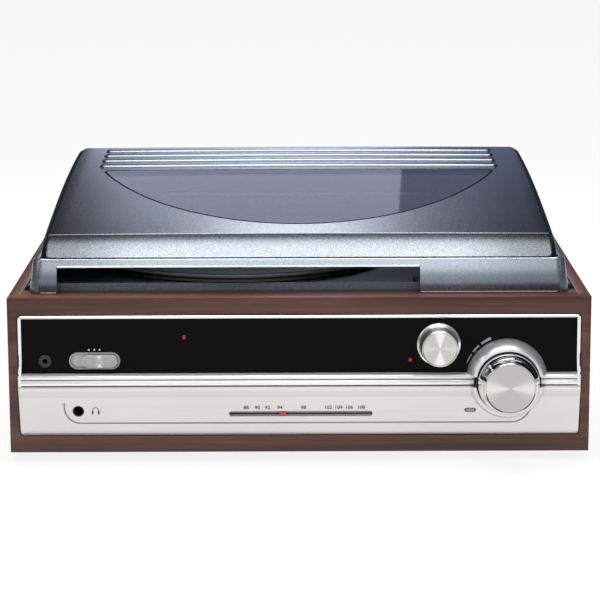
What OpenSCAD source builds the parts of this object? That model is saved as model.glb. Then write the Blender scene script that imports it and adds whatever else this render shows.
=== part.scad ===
// Stereo music centre: a record player with its dust cover on top of a radio in a wooden cabinet.
// Millimetres, +Z up, +X to the right of someone facing it, +Y away from them.
// The origin is at the middle of the footprint, on the surface that the feet stand on.

/* [Cabinet] */
// Width over the side boards
body_w = 430; // [420:1:460]
// Depth of the wooden cabinet
body_d = 355; // [352:1:380]
// Height of the wooden cabinet without its feet
wood_h = 117; // [115:1:130]
// Thickness of a side board
side_t = 9; // [8:0.5:11]
// Thickness of the front frame
frame_t = 12; // [10:0.5:14]
// Depth of the strip behind the top edge of the front
strip_d = 29.5; // [29:0.1:29.5]
// Width of the wood beside the panel opening
rail_w = 7; // [6:0.5:8]
// Height of the wood above the panel opening
rail_top = 13; // [12:0.5:13]
// Height of the wood below the panel opening
rail_bottom = 12; // [10:0.5:13]
// Thickness of the bottom panel
base_t = 4; // [3:0.5:5]
// Thickness of the rear panel
rear_t = 5; // [4:0.5:6]
// Width of a square corner block
block_w = 21; // [20:1:24]

/* [Feet] */
// Height of a rubber foot
foot_h = 7; // [6:0.5:9]
// Radius of a rubber foot
foot_r = 14; // [12:0.5:16]
// Distance of a foot from the outer faces
foot_inset = 45; // [40:1:60]
// Radius of a case screw's shank
screw_r = 1.5; // [1.2:0.1:1.8]
// Radius of a case screw's head
screw_head_r = 3.4; // [3:0.1:4]

/* [Front panel] */
// Width of the chrome edge round the panel
chrome_w = 2.3; // [1.8:0.1:3]
// How far the chrome edge stands in front of the wood
chrome_out = 1.5; // [1:0.1:2.5]
// How far the chrome ledge stands in front of the wood
ledge_out = 8.5; // [7:0.5:10]
// Height of the black window
window_h = 41.4; // [40:0.2:42]
// Thickness of the black window
window_t = 2.5; // [2:0.1:3]
// Length of the dial slot
slot_len = 105; // [100:1:110]
// Height of the dial slot
slot_h = 3.3; // [3:0.1:4]
// Height of the dial slot below the top of the cabinet
slot_drop = 87.6; // [86:0.2:88.5]

/* [Knobs] */
// Radius of the chrome collar round the volume knob
bezel_r = 29.9; // [28:0.1:31]
// Radius of the volume knob
volume_r = 22.5; // [20:0.1:23]
// How far the volume knob stands in front of the wood
volume_out = 34; // [30:0.5:36]
// Distance of the volume knob from the right side of the cabinet
volume_in = 61.6; // [60:0.1:65]
// Depth of the volume knob's centre below the top of the cabinet
volume_drop = 61.6; // [61:0.1:64]
// Radius of the tuning knob's flange
tuning_r = 16.2; // [14:0.1:17]
// How far the tuning knob stands in front of the wood
tuning_out = 18; // [15:0.5:20]
// Distance of the tuning knob from the right side of the cabinet
tuning_in = 112.1; // [111.5:0.1:115]
// Depth of the tuning knob's centre below the top of the cabinet
tuning_drop = 35.5; // [35:0.1:37]
// Radius of a knob's shaft
shaft_r = 3; // [2.5:0.1:3.2]
// Length of the function slider's cap
slider_w = 26.2; // [24:0.2:28]
// Travel of the function slider over its three places
slider_travel = 8; // [6:0.5:9]
// Radius of the hole of a small jack
jack_r = 1.8; // [1.75:0.05:1.9]
// Radius of the headphone jack's mouth
phones_r = 4.3; // [4:0.1:5]

/* [Deck] */
// Height of the deck's raised part above the cabinet
deck_rise = 5.6; // [5:0.1:6]
// Thickness of the deck's walls
deck_t = 3; // [2.5:0.1:3.5]
// Gap between the deck and each side board
side_gap = 6; // [4:0.5:7]
// Radius of the platter's rim
platter_r = 122; // [119:0.5:123]
// Radius of the skirt under the platter's rim
skirt_r = 113; // [110:0.5:113.5]
// Height of the platter's top face above the cabinet
platter_top = 9.7; // [9.4:0.1:10.2]
// Place of the platter's centre left of the middle
platter_left = 47.7; // [46:0.1:49]
// Depth of the platter's centre behind the front face
platter_depth = 145.4; // [145:0.1:147]
// Thickness of the platter mat
mat_t = 2.5; // [2:0.1:2.8]
// Radius of the platter mat
mat_r = 118; // [115:0.5:119]
// Radius of the spindle that a record sits on
spindle_r = 3.6; // [3.55:0.01:3.65]
// Radius of the ring under the platter that the belt drives
drive_r = 60; // [55:0.5:64]
// Radius of the motor pulley
pulley_r = 6; // [5:0.1:7]
// Distance of the motor from the platter's centre
motor_reach = 85; // [82:0.5:90]
// Radius of the motor's can
motor_r = 14; // [12:0.5:16]
// Distance of the transit screw from the right side of the cabinet
transit_in = 125; // [120:0.5:131]
// Depth of the transit screw behind the front face
transit_depth = 36; // [35.6:0.1:40]
// Distance of the two slide levers from the right side of the cabinet
levers_in = 50; // [45:1:60]
// Depth of the speed lever behind the front face
speed_depth = 70; // [64:1:76]
// Depth of the auto stop lever behind the front face
stop_depth = 108; // [104:1:118]
// Travel of the speed lever over its three places
speed_travel = 16; // [12:1:20]
// Travel of the auto stop lever
stop_travel = 6; // [4:0.5:8]

/* [Tonearm] */
// Distance of the arm's pivot from the right side of the cabinet
arm_in = 90; // [85:0.5:95]
// Depth of the headshell's front behind the front face
arm_front = 41; // [40:0.5:44]
// Height of the arm tube's centre above the cabinet
arm_rise = 26; // [25.5:0.1:27]
// Radius of the arm tube
arm_r = 3.5; // [3:0.1:3.6]
// Distance from the pivot to the stylus
arm_len = 222; // [216:0.5:224]
// Distance of the arm rest behind the stylus
rest_back = 57; // [52:1:72]
// Distance from the pivot to the cue lift
cue_reach = 55; // [50:0.5:60]
// Angle that the arm rest's clip stands open at
clip_open = 60; // [50:1:65]

/* [Dust cover] */
// Distance of the cover's sides from the sides of the cabinet
cover_in = 14.3; // [14:0.1:17]
// How much each side of the cover leans in at its skirt
cover_taper = 9.2; // [8.7:0.1:11.7]
// Height of the cover's skirt
cover_skirt = 26; // [25:0.2:27]
// Thickness of the cover's walls
cover_t = 2.5; // [2:0.1:2.6]
// Depth of the cover's front behind the front face
cover_front = 15.4; // [14:0.1:16]
// Height of the slot in the cover's front
mouth_h = 20.3; // [19:0.1:21]
// Distance of the front slot from the left end of the cover
mouth_in_left = 21.4; // [19.7:0.1:25.7]
// Distance of the front slot from the right end of the cover
mouth_in_right = 111.1; // [105.7:0.1:115.7]
// Distance of the window from the sides of the cover
pane_in = 14.5; // [13.5:0.1:21.5]
// Length of the window's half oval
pane_len = 288; // [280:0.5:289]
// Height of a rib above the cover's skin
rib_h = 2.2; // [1.8:0.1:3]

/* [Hinges] */
// Radius of a hinge knuckle
knuckle_r = 4.2; // [4:0.1:4.5]
// Radius of a hinge pin
pin_r = 1.5; // [1.3:0.05:1.8]
// Place of each hinge to the side of the middle
hinge_x = 135; // [100:1:160]
// Height of the hinge axis above the cabinet
hinge_rise = 8; // [8:0.1:9]
// Width of the middle knuckle
knuckle_w = 12; // [10:0.5:14]

/* [Radio works] */
// Radius of the tuning drum where the cord runs
drum_r = 31.2; // [30:0.1:31.5]
// Radius of a dial pulley where the cord runs
idler_r = 5; // [4.5:0.1:5.2]
// Radius of the dial cord
cord_r = 0.4; // [0.3:0.05:0.5]
// Radius of the bore for the mains cord
gland_r = 3.6; // [3.2:0.1:4]
// Place of the mains cord to the right of the middle
gland_x = 150; // [120:1:165]
// Outer radius of an output socket
socket_r = 4.15; // [4.1:0.01:4.2]
// Distance between the output sockets
socket_pitch = 14; // [13:0.5:19]
// Width of the main circuit board
board_w = 190; // [170:1:192]
// Depth of the main circuit board
board_len = 100; // [90:1:110]
// Height of the transformer
transformer_h = 47; // [42:1:52]

/* [Clearances] */
// Radial clearance of a shaft that turns in a bore
run_gap = 0.05; // [0.02:0.01:0.08]
// Gap between pieces that move past each other
move_gap = 0.3; // [0.3:0.05:0.5]
// Gap between pieces that are set into each other
seat_gap = 0.1; // [0.05:0.05:0.2]

/* [Hidden] */
$fn = 48;
eps = 0.01;

// Overall places
rear_out = 7;
cab_top = foot_h + wood_h;
half_w = body_w / 2;
front_y = (volume_out - body_d - rear_out) / 2;
inner_half = half_w - side_t;
deck_half = inner_half - side_gap;
rear_in = body_d - rear_t;
volume_x = half_w - volume_in;
tuning_x = half_w - tuning_in;
transit_x = half_w - transit_in;
levers_x = half_w - levers_in;
arm_x = half_w - arm_in;
shell_out = 5;
arm_depth = arm_front + shell_out + arm_len;
rest_reach = arm_len - rest_back;
cover_half = half_w - cover_in;
cover_top_half = cover_half - cover_taper;
mouth_left = cover_half - mouth_in_left;
mouth_right = cover_half - mouth_in_right;
pane_half = cover_top_half - pane_in;

// Front panel, measured down from the cabinet's top and back from the front face
open_half = half_w - rail_w;
open_corner = 3;
fascia_half = open_half - 0.8;
fascia_top = -rail_top - 0.3;
fascia_bottom = -wood_h + rail_bottom + 0.3;
fascia_back = 5;
window_top = fascia_top - chrome_w;
window_bottom = window_top - window_h;
window_face = 1;
window_half = fascia_half - chrome_w - seat_gap;
cove_top = window_bottom - 8.4;
cove_bottom = window_bottom - 14.8;
cove_out = 6;
silver_in = 2;
window_bore = bezel_r + seat_gap;
ring_gap_r = volume_r + 0.9;
collar_out = 16;
led_r = 1.5;
led_back = fascia_back + 1.2;
switch_x = 56.8 - open_half;
led_places = [[switch_x + 66.3, -29.6], [tuning_x - 21, -47.5]];
aux_place = [20.2 - open_half, -47.5];
phones_place = [44.3 - open_half, -84.9];
switch_z = -47.3;
switch_half = 12.6;
switch_r = 6.25;
slider_x = switch_x + 3.9;
slider_h = 10;
pointer_x = -12.4;
slot_x = 1;
pointer_w = 4.8;
works_d = 9;
chassis_d = 14;
chassis_t = 1.5;

// Dial cord wheels: place across, place in height, radius of the cord's middle, sense of turning
cord_off = cord_r + 0.15;
drum_x = tuning_x - 42.9;
drum_z = -52;
idler_z = -slot_drop + 1.2;
left_idler_x = -64;
right_idler_x = tuning_x - 4.9;
wrap_r = shaft_r + 0.5;
wheels = [[drum_x, drum_z, drum_r + cord_off, -1],
    [tuning_x, -tuning_drop, wrap_r + cord_off, 1],
    [right_idler_x, idler_z, idler_r + cord_off, -1],
    [left_idler_x, idler_z, idler_r + cord_off, -1]];
cord_run_z = idler_z - idler_r - cord_off;
cord_sides = 8;
arc_steps = 16;

// Deck and cover
deck_back = body_d - 17;
well_r = skirt_r + 1.5;
well_floor = -14;
bearing_r = 8;
motor_turn = 135;
motor_x = -platter_left + motor_reach * cos(motor_turn);
motor_d = platter_depth + motor_reach * sin(motor_turn);
belt_low = -7;
belt_h = 5;
belt_t = 0.8;
belt_gap = 0.15;
stylus_z = platter_top + mat_t + 2.1;
yaw_span = 39;
cue_turn = 8;
cue_bar_span = 44;
lift_top = arm_rise - arm_r - 0.5;
lever_x = arm_x + 24;
lever_d = arm_depth - cue_reach + 20;
cover_back = body_d - 9;
cover_low = move_gap;
crown_points = 12;
cover_stations = [[42, 40.2, 0.8], [80, 45.2, 0.8], [123, 50.2, 0.8], [170, 55.2, 0.8],
    [220, 59.4, 0.9], [262, 62, 1], [303, 63.8, 0.9], [346, 64.9, 0.7]];
cover_corner = 7.8;
bevel_low = cover_skirt + 1;
ledge_depth = cover_front + 2.1;
pane_cut = 235;
pane_centre = 353;
pane_gap = 0.15;
rib_depths = [251, 274, 297.5, 321];
rib_half = cover_top_half - 25.5;
rib_w = 11;
hinge_d = body_d - 2;
leaf_t = 2;
lever_slot = 1.8;
foot_places = [for (sx = [-1, 1], d = [foot_inset, body_d - foot_inset]) [sx * (half_w - foot_inset), d]];
block_depths = [60, rear_in - block_w - 0.2];
block_half = inner_half - block_w / 2 - 0.1;
board_left = -130;
board_x = [board_left, board_left + board_w];
board_front = 70;
board_d = [board_front, board_front + board_len];
board_rise = 9;
transformer_x = half_w - 87;
transformer_d = 259;
gland_z = -90;
gland_wall = 3.4;
socket_z = -80;
socket_x = -60;
motor_len = 30;
motor_plate_w = 26;
core_half = 28;
core_d = 21;
core_foot = 38;
core_foot_d = 15;
coil_half = 20;
coil_d = 30;
coil_in = 9;
chassis_low = -wood_h + 16;
chassis_high = -rail_top - 7;
bumper_w = 5;
screw_low = -wood_h + 14;
screw_high = -24;
bracket_z = -14;
bracket_screw_x = 9;
bracket_half = 15;

function y_at(d) = front_y + d;
function z_at(h) = cab_top + h;

// Places a child x across, d behind the front face and h above the cabinet's top.
module spot(x, d, h) { translate([x, y_at(d), z_at(h)]) children(); }

// A block between two places across, two depths and two heights.
module slab(x0, x1, d0, d1, h0, h1) {
    spot(x0, d0, h0) cube([x1 - x0, d1 - d0, h1 - h0]);
}

// A round bar standing between two heights.
module post(r, x, d, h0, h1, r2 = -1) {
    spot(x, d, h0) cylinder(r1 = r, r2 = r2 < 0 ? r : r2, h = h1 - h0);
}

// A round bar running back between two depths.
module bar(r, x, h, d0, d1, r2 = -1) {
    spot(x, d0, h) rotate([-90, 0, 0]) cylinder(r1 = r, r2 = r2 < 0 ? r : r2, h = d1 - d0);
}

// A round bar running across between two places.
module pin(r, d, h, x0, x1) {
    spot(x0, d, h) rotate([0, 90, 0]) cylinder(r = r, h = x1 - x0);
}

// A turned shape round an axis that runs back: points are radius and depth behind the front face.
module turned_back(x, h, points) {
    spot(x, 0, h) rotate([-90, 0, 0]) rotate_extrude($fn = 96) polygon(points);
}

// A turned shape round an upright axis: points are radius and height above the cabinet's top.
module turned_up(x, d, points, fn = 144) {
    spot(x, d, 0) rotate_extrude($fn = fn) polygon(points);
}

// A bar with round ends that runs back between two depths.
module stadium(half, r, x, h, d0, d1) {
    slab(x - half, x + half, d0, d1, h - r, h + r);
    for (sx = [-1, 1]) bar(r, x + sx * half, h, d0, d1);
}

// A plate with round corners, centred across, between two depths.
module round_plate(half, corner, d0, d1, h0, h1) {
    slab(-half + corner, half - corner, d0, d1, h0, h1);
    slab(-half, half, d0, d1, h0 + corner, h1 - corner);
    for (sx = [-1, 1], h = [h0 + corner, h1 - corner]) bar(corner, sx * (half - corner), h, d0, d1);
}

// A case screw pointing along +Z, with its head at the origin.
module case_screw(length) {
    cylinder(r = screw_head_r, h = 2);
    translate([0, 0, 1.9]) cylinder(r = screw_r, h = length - 1.9);
}

module side_panel(side) {
    x0 = side > 0 ? inner_half : -half_w;
    slab(x0, x0 + side_t, frame_t, body_d, -wood_h, 0);
}
module side_panel_left() { color("saddlebrown") side_panel(-1); }
module side_panel_right() { color("saddlebrown") side_panel(1); }

module front_frame() {
    color("saddlebrown") difference() {
        union() {
            slab(-half_w, half_w, 0, frame_t, -wood_h, 0);
            slab(-inner_half + 0.1, inner_half - 0.1, frame_t - eps, strip_d - 0.2, -rail_top + 1, 0);
        }
        round_plate(open_half, open_corner, -1, frame_t + 1, -wood_h + rail_bottom, -rail_top);
    }
}

module bottom_panel() {
    vent_len = 60;
    vent_x = -40;
    vent_d = 190;
    color("peru") difference() {
        slab(-inner_half + 0.2, inner_half - 0.2, frame_t + 0.2, rear_in - 0.2, -wood_h, -wood_h + base_t);
        for (p = foot_places) post(screw_r + seat_gap, p[0], p[1], -wood_h - 1, -wood_h + base_t + 1);
        for (i = [0:5]) slab(vent_x - vent_len / 2, vent_x + vent_len / 2, vent_d + i * 9,
            vent_d + 3 + i * 9, -wood_h - 1, -wood_h + base_t + 1);
    }
}

module rear_panel() {
    vent_w = 3;
    vent_x = 40;
    color("dimgray") difference() {
        slab(-inner_half + 0.2, inner_half - 0.2, rear_in, body_d, -wood_h, -deck_t - 0.2);
        bar(gland_r + gland_wall + seat_gap, gland_x, gland_z, rear_in - 1, body_d + 1);
        for (i = [0, 1])
            bar(socket_r + seat_gap, socket_x + i * socket_pitch, socket_z, rear_in - 1, body_d + 1);
        for (i = [0:7]) slab(vent_x + i * 8, vent_x + vent_w + i * 8, rear_in - 1, body_d + 1, -70, -45);
        for (sx = [-1, 1], z = [screw_low, screw_high])
            bar(screw_r + seat_gap, sx * block_half, z, rear_in - 1, body_d + 1);
        for (sx = [-1, 1], dx = [-bracket_screw_x, bracket_screw_x])
            bar(screw_r + seat_gap, sx * hinge_x + dx, bracket_z, rear_in - 1, body_d + 1);
    }
}

module corner_blocks() {
    color("burlywood") difference() {
        for (sx = [-1, 1], d = block_depths)
            slab(sx * block_half - block_w / 2, sx * block_half + block_w / 2, d, d + block_w,
                -wood_h + base_t, -deck_t);
        for (sx = [-1, 1], z = [screw_low, screw_high])
            bar(screw_r + seat_gap, sx * block_half, z, rear_in - 14, rear_in);
        for (sx = [-1, 1], d = block_depths)
            post(screw_r + seat_gap, sx * block_half, d + block_w / 2, -deck_t - 14, -deck_t + 1);
    }
}

module rubber_feet() {
    color("black") difference() {
        for (p = foot_places) post(foot_r - 1, p[0], p[1], -wood_h - foot_h, -wood_h, foot_r);
        for (p = foot_places)
            post(screw_head_r + 1, p[0], p[1], -wood_h - foot_h - 1, -wood_h - foot_h + 3.5);
        for (p = foot_places) post(screw_r + seat_gap, p[0], p[1], -wood_h - foot_h, -wood_h + 1);
    }
}

module case_screws() {
    color("silver") {
        for (p = foot_places) spot(p[0], p[1], -wood_h - foot_h + 1.5) case_screw(foot_h + base_t - 2);
        for (sx = [-1, 1], z = [screw_low, screw_high])
            spot(sx * block_half, body_d + 2, z) rotate([90, 0, 0]) case_screw(rear_t + 13);
        for (sx = [-1, 1], d = block_depths)
            spot(sx * block_half, d + block_w / 2, -0.1) rotate([180, 0, 0]) case_screw(deck_t + 12);
        for (sx = [-1, 1], dx = [-bracket_screw_x, bracket_screw_x])
            spot(sx * hinge_x + dx, body_d + 4.4, bracket_z) rotate([90, 0, 0]) case_screw(rear_t + 4.4);
    }
}

module hinge_brackets() {
    color("dimgray") difference() {
        for (sx = [-1, 1]) {
            slab(sx * hinge_x - bracket_half, sx * hinge_x + bracket_half, body_d, body_d + 2.4, -22, -1.5);
            slab(sx * hinge_x - knuckle_w / 2, sx * hinge_x + knuckle_w / 2, body_d, body_d + 2.2,
                -2, hinge_rise);
            pin(knuckle_r, hinge_d, hinge_rise, sx * hinge_x - knuckle_w / 2, sx * hinge_x + knuckle_w / 2);
        }
        for (sx = [-1, 1])
            pin(pin_r + run_gap, hinge_d, hinge_rise, sx * hinge_x - knuckle_w, sx * hinge_x + knuckle_w);
        for (sx = [-1, 1], dx = [-bracket_screw_x, bracket_screw_x])
            bar(screw_r + seat_gap, sx * hinge_x + dx, bracket_z, body_d - 1, body_d + 3);
    }
}

module cord_gland() {
    color("black") difference() {
        union() {
            bar(gland_r + gland_wall, gland_x, gland_z, rear_in - 3, body_d + 1);
            bar(gland_r + gland_wall + 1.6, gland_x, gland_z, body_d, body_d + 2);
            bar(gland_r + gland_wall - 0.4, gland_x, gland_z, body_d + 1, body_d + rear_out, gland_r + 1.8);
        }
        bar(gland_r, gland_x, gland_z, rear_in - 4, body_d + rear_out + 1);
    }
}

module output_sockets() {
    color("silver") for (i = [0, 1]) difference() {
        union() {
            bar(socket_r, socket_x + i * socket_pitch, socket_z, rear_in - 12, body_d + rear_out);
            bar(socket_r + 2.2, socket_x + i * socket_pitch, socket_z, body_d, body_d + 1.6);
        }
        bar(1.6, socket_x + i * socket_pitch, socket_z, rear_in - 6, body_d + rear_out + 1);
    }
}

module deck_plate() {
    plate_half = deck_half - 3.6;
    arm_hole = 6;
    color("slategray") difference() {
        union() {
            difference() {
                union() {
                    slab(-deck_half, deck_half, strip_d, rear_in - 0.2, -deck_t, 0);
                    slab(-inner_half + 0.4, inner_half - 0.4, block_depths[0] - 4,
                        block_depths[0] + block_w + 4, -deck_t, -deck_t + 1.8);
                    slab(-inner_half + 0.4, inner_half - 0.4, block_depths[1] - 4, rear_in - 0.2,
                        -deck_t, -deck_t + 1.8);
                    slab(-plate_half, plate_half, strip_d, deck_back, -deck_t, deck_rise);
                }
                slab(-plate_half + deck_t, plate_half - deck_t, strip_d + deck_t, deck_back - deck_t,
                    -deck_t - 1, deck_rise - deck_t);
            }
            intersection() {
                post(well_r + deck_t, -platter_left, platter_depth, well_floor - deck_t, deck_rise,
                    $fn = 144);
                slab(-half_w, half_w, strip_d, body_d, -wood_h, wood_h);
            }
            post(bearing_r + 4, -platter_left, platter_depth, well_floor - 14, well_floor);
            post(12, arm_x, arm_depth, -8, deck_rise);
            post(6, transit_x, transit_depth, -deck_t, deck_rise);
        }
        post(well_r, -platter_left, platter_depth, well_floor, deck_rise + 1, $fn = 144);
        post(bearing_r, -platter_left, platter_depth, well_floor - 15, well_floor + 1);
        post(pulley_r + 4, motor_x, motor_d, well_floor - deck_t - 1, well_floor + 1);
        post(arm_hole, arm_x, arm_depth, -9, deck_rise + 1);
        post(1.6, transit_x, transit_depth, -deck_t - 1, deck_rise + 1);
        for (lever = [[speed_depth, speed_travel], [stop_depth, stop_travel]])
            slab(levers_x - lever_slot, levers_x + lever_slot, lever[0] - 4, lever[0] + lever[1] + 4,
                deck_rise - deck_t - 1, deck_rise + 1);
        for (sx = [-1, 1], d = block_depths)
            post(screw_r + seat_gap, sx * block_half, d + block_w / 2, -deck_t - 1, 1);
        for (sx = [-1, 1], d = block_depths)
            post(screw_head_r + 0.4, sx * block_half, d + block_w / 2, -2.1, deck_rise + 1);
    }
}

module spindle_bearing() {
    low = well_floor - 16;
    color("peru") turned_up(-platter_left, platter_depth, [[0, low], [bearing_r - seat_gap, low],
        [bearing_r - seat_gap, well_floor], [bearing_r + 2, well_floor], [bearing_r + 2, well_floor + 1.5],
        [shaft_r + run_gap, well_floor + 1.5], [shaft_r + run_gap, low + 2], [0, low + 2]]);
}

module motor() {
    top = well_floor - deck_t;
    color("silver") difference() {
        union() {
            post(motor_r, motor_x, motor_d, top - motor_len, top - 2.5);
            slab(motor_x - motor_plate_w, motor_x + motor_plate_w, motor_d - 8, motor_d + 8,
                top - 3, top - 1.5);
            for (sx = [-1, 1]) post(5, motor_x + sx * (motor_plate_w - 6), motor_d, top - 5, top);
        }
        post(1 + run_gap, motor_x, motor_d, top - motor_len + 2, top + 1);
    }
}

// The belt's outline round the drive ring and the pulley, grown by a distance.
module belt_outline(grow) {
    hull() {
        circle(r = drive_r + belt_gap + grow, $fn = 96);
        translate([motor_x + platter_left, motor_d - platter_depth])
            circle(r = pulley_r + belt_gap + grow, $fn = 48);
    }
}

module drive_belt() {
    color("black") spot(-platter_left, platter_depth, belt_low) linear_extrude(belt_h) difference() {
        belt_outline(belt_t);
        belt_outline(0);
    }
}

module transit_screw() {
    color("black") difference() {
        union() {
            post(5, transit_x, transit_depth, deck_rise, deck_rise + 1.8);
            post(1.5, transit_x, transit_depth, -deck_t - 5, deck_rise + 0.1);
        }
        slab(transit_x - 4, transit_x + 4, transit_depth - 0.7, transit_depth + 0.7,
            deck_rise + 0.8, deck_rise + 3);
    }
}

module arm_base() {
    guide_x = arm_x + cue_reach * sin(cue_turn);
    guide_d = arm_depth - cue_reach * cos(cue_turn);
    color("black") difference() {
        union() {
            post(20, arm_x, arm_depth, deck_rise, deck_rise + 3);
            post(11, arm_x, arm_depth, deck_rise, deck_rise + 7);
            post(6 - seat_gap, arm_x, arm_depth, -12, deck_rise + 1);
            slab(arm_x - 6, lever_x + 7, guide_d - 6, arm_depth + 6, deck_rise, deck_rise + 3);
            post(5, guide_x, guide_d, deck_rise, deck_rise + 9);
            for (sx = [-1, 1]) slab(lever_x + sx * 4.5 - 1.5, lever_x + sx * 4.5 + 1.5, lever_d - 5,
                lever_d + 5, deck_rise, deck_rise + 11);
        }
        post(4 + run_gap, arm_x, arm_depth, -13, deck_rise + 8);
        post(2 + run_gap, guide_x, guide_d, deck_rise + 1, deck_rise + 10);
        pin(1.5, lever_d, deck_rise + 7, lever_x - 8, lever_x + 8);
    }
}

module arm_rest() {
    rest_d = arm_depth - rest_reach;
    color("black") {
        post(7, arm_x + 5, rest_d, deck_rise, deck_rise + 2.5);
        slab(arm_x - 2, arm_x + 9, rest_d - 4, rest_d + 4, deck_rise + 2, arm_rise - arm_r - 0.3);
        slab(arm_x + arm_r + 0.5, arm_x + 6.5, rest_d - 4, rest_d + 4, deck_rise + 2, arm_rise + 1);
        difference() {
            for (sy = [-1, 1]) slab(arm_x + 6, arm_x + 14, rest_d + sy * 3 - 1, rest_d + sy * 3 + 1,
                deck_rise + 2, arm_rise);
            bar(1, arm_x + 12, arm_rise - 1.5, rest_d - 5, rest_d + 5);
        }
    }
}

// The clip as it lies over the arm, drawn round its own pivot.
module clip_shape() {
    rotate([90, 0, 0]) {
        cylinder(r = 2, h = 3.4, center = true);
        cylinder(r = 0.95, h = 8, center = true);
    }
    translate([-1, -1.7, 0]) cube([2, 3.4, arm_r + 4.4]);
    translate([-12 - arm_r - 1.5, -1.7, arm_r + 2.4]) cube([12 + arm_r + 2.5, 3.4, 2]);
    translate([-12 - arm_r - 1.5, -1.7, arm_r - 1]) cube([1, 3.4, 4]);
}

module arm_clip() {
    color("dimgray") spot(arm_x + 12, arm_depth - rest_reach, arm_rise - 1.5)
        rotate([0, clip_open, 0]) clip_shape();
}

// One cross-section of the dust cover: points across and up, from its skirt to its crown.
function cover_outline(half, edge, crown, base) = concat(
    [[-half, base], [-half, edge - 4], [-half + 1.2, edge - 1.2]],
    [for (i = [0:crown_points]) let (t = -1 + 2 * i / crown_points)
        [t * (half - 4), edge + crown * (1 - t * t)]],
    [[half - 1.2, edge - 1.2], [half, edge - 4], [half, base]]);

// A thin slice of the cover's upper form at one depth.
module cover_slice(d, half, edge, crown, base) {
    spot(0, d, 0) rotate([90, 0, 0]) linear_extrude(eps) polygon(cover_outline(half, edge, crown, base));
}

// The upper form of the dust cover, drawn in by a distance on every side.
module cover_form(inset) {
    half = cover_top_half - inset;
    base = inset > 0 ? cover_low - 1 : cover_skirt - 1;
    lip = half - cover_corner;
    hull() {
        spot(0, ledge_depth + inset * 1.2, 0) rotate([90, 0, 0]) linear_extrude(eps)
            polygon([[-lip, base], [-lip, bevel_low - inset], [lip, bevel_low - inset], [lip, base]]);
        cover_slice(ledge_depth + 3 + inset, half - 2.1, bevel_low + 1.7 - inset, 0, base);
        cover_slice(ledge_depth + 8 + inset, half, bevel_low + 4 - inset, 0.6, base);
        for (s = cover_stations) cover_slice(s[0] > 340 ? s[0] - inset : s[0] + inset * 0.4, half,
            s[1] - inset, s[2], base);
    }
}

// The skirt of the dust cover, drawn in by a distance on every side.
module cover_base(inset) {
    corner = 9 - inset;
    for_low = inset > 0 ? cover_low - 1 : cover_low;
    for_high = inset > 0 ? cover_skirt - inset + 0.5 : cover_skirt;
    hull() for (level = [[for_low, 0], [for_high, 3.6]], sx = [-1, 1]) {
        side = cover_half - level[1] - inset - corner;
        spot(sx * side, cover_front + level[1] * 0.4 + inset + corner, level[0])
            cylinder(r = corner, h = eps, $fn = 32);
        spot(sx * (side + corner - 2), cover_back - inset - 2, level[0]) cylinder(r = 2, h = eps, $fn = 32);
    }
}

// The window's half oval, grown by a distance, as a flat shape with depth along y.
module pane_outline(grow) {
    intersection() {
        translate([0, pane_centre]) scale([1, (pane_len + grow) / (pane_half + grow)])
            circle(r = pane_half + grow, $fn = 120);
        translate([-half_w, 0]) square([body_w, pane_cut + grow]);
    }
}

// A rib across the cover's rear, following its crown.
module cover_rib(d) {
    station = [for (s = cover_stations) if (s[0] <= d) s];
    low = station[len(station) - 1];
    next = cover_stations[min(len(station), len(cover_stations) - 1)];
    share = next[0] > low[0] ? (d - low[0]) / (next[0] - low[0]) : 0;
    edge = low[1] + (next[1] - low[1]) * share;
    bow = low[2] + (next[2] - low[2]) * share;
    reach = cover_top_half - 4;
    for (layer = [0:2]) {
        up = rib_h * [0.45, 0.8, 1][layer];
        wide = rib_w * [1, 0.75, 0.45][layer];
        half = rib_half - layer * 1.5;
        span = [for (i = [0:16]) -half + 2 * half * i / 16];
        top = [for (x = span) [x, edge + bow * (1 - pow(x / reach, 2)) + up]];
        under = [for (i = [16:-1:0]) top[i] - [0, up + 1.5]];
        spot(0, d + wide / 2, 0) rotate([90, 0, 0]) linear_extrude(wide) polygon(concat(top, under));
    }
}

module lid_shell() {
    color("lightsteelblue") {
        difference() {
            union() {
                cover_form(0);
                cover_base(0);
            }
            cover_form(cover_t);
            cover_base(cover_t);
            spot(0, 0, 30) linear_extrude(60) pane_outline(0);
            slab(-mouth_left, mouth_right, cover_front - 3, cover_front + 9, -1, mouth_h);
        }
        for (d = rib_depths) cover_rib(d);
    }
}

module lid_window() {
    color("lavender", 0.5) intersection() {
        difference() {
            cover_form(0);
            cover_form(cover_t);
        }
        spot(0, 0, 30) linear_extrude(60) pane_outline(-pane_gap);
    }
}

module lid_bumpers() {
    lip_d = cover_front + 1.6;
    bumper_x = -platter_left;
    color("black") {
        slab(bumper_x - bumper_w, bumper_x + bumper_w, lip_d, lip_d + 2.2, mouth_h - 1.8, mouth_h);
        for (sx = [-1, 1]) slab(sx * (cover_half - 11) - 4, sx * (cover_half - 11) + 4,
            cover_front + 5, cover_front + 13, move_gap, move_gap + 1.4);
    }
}

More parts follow.
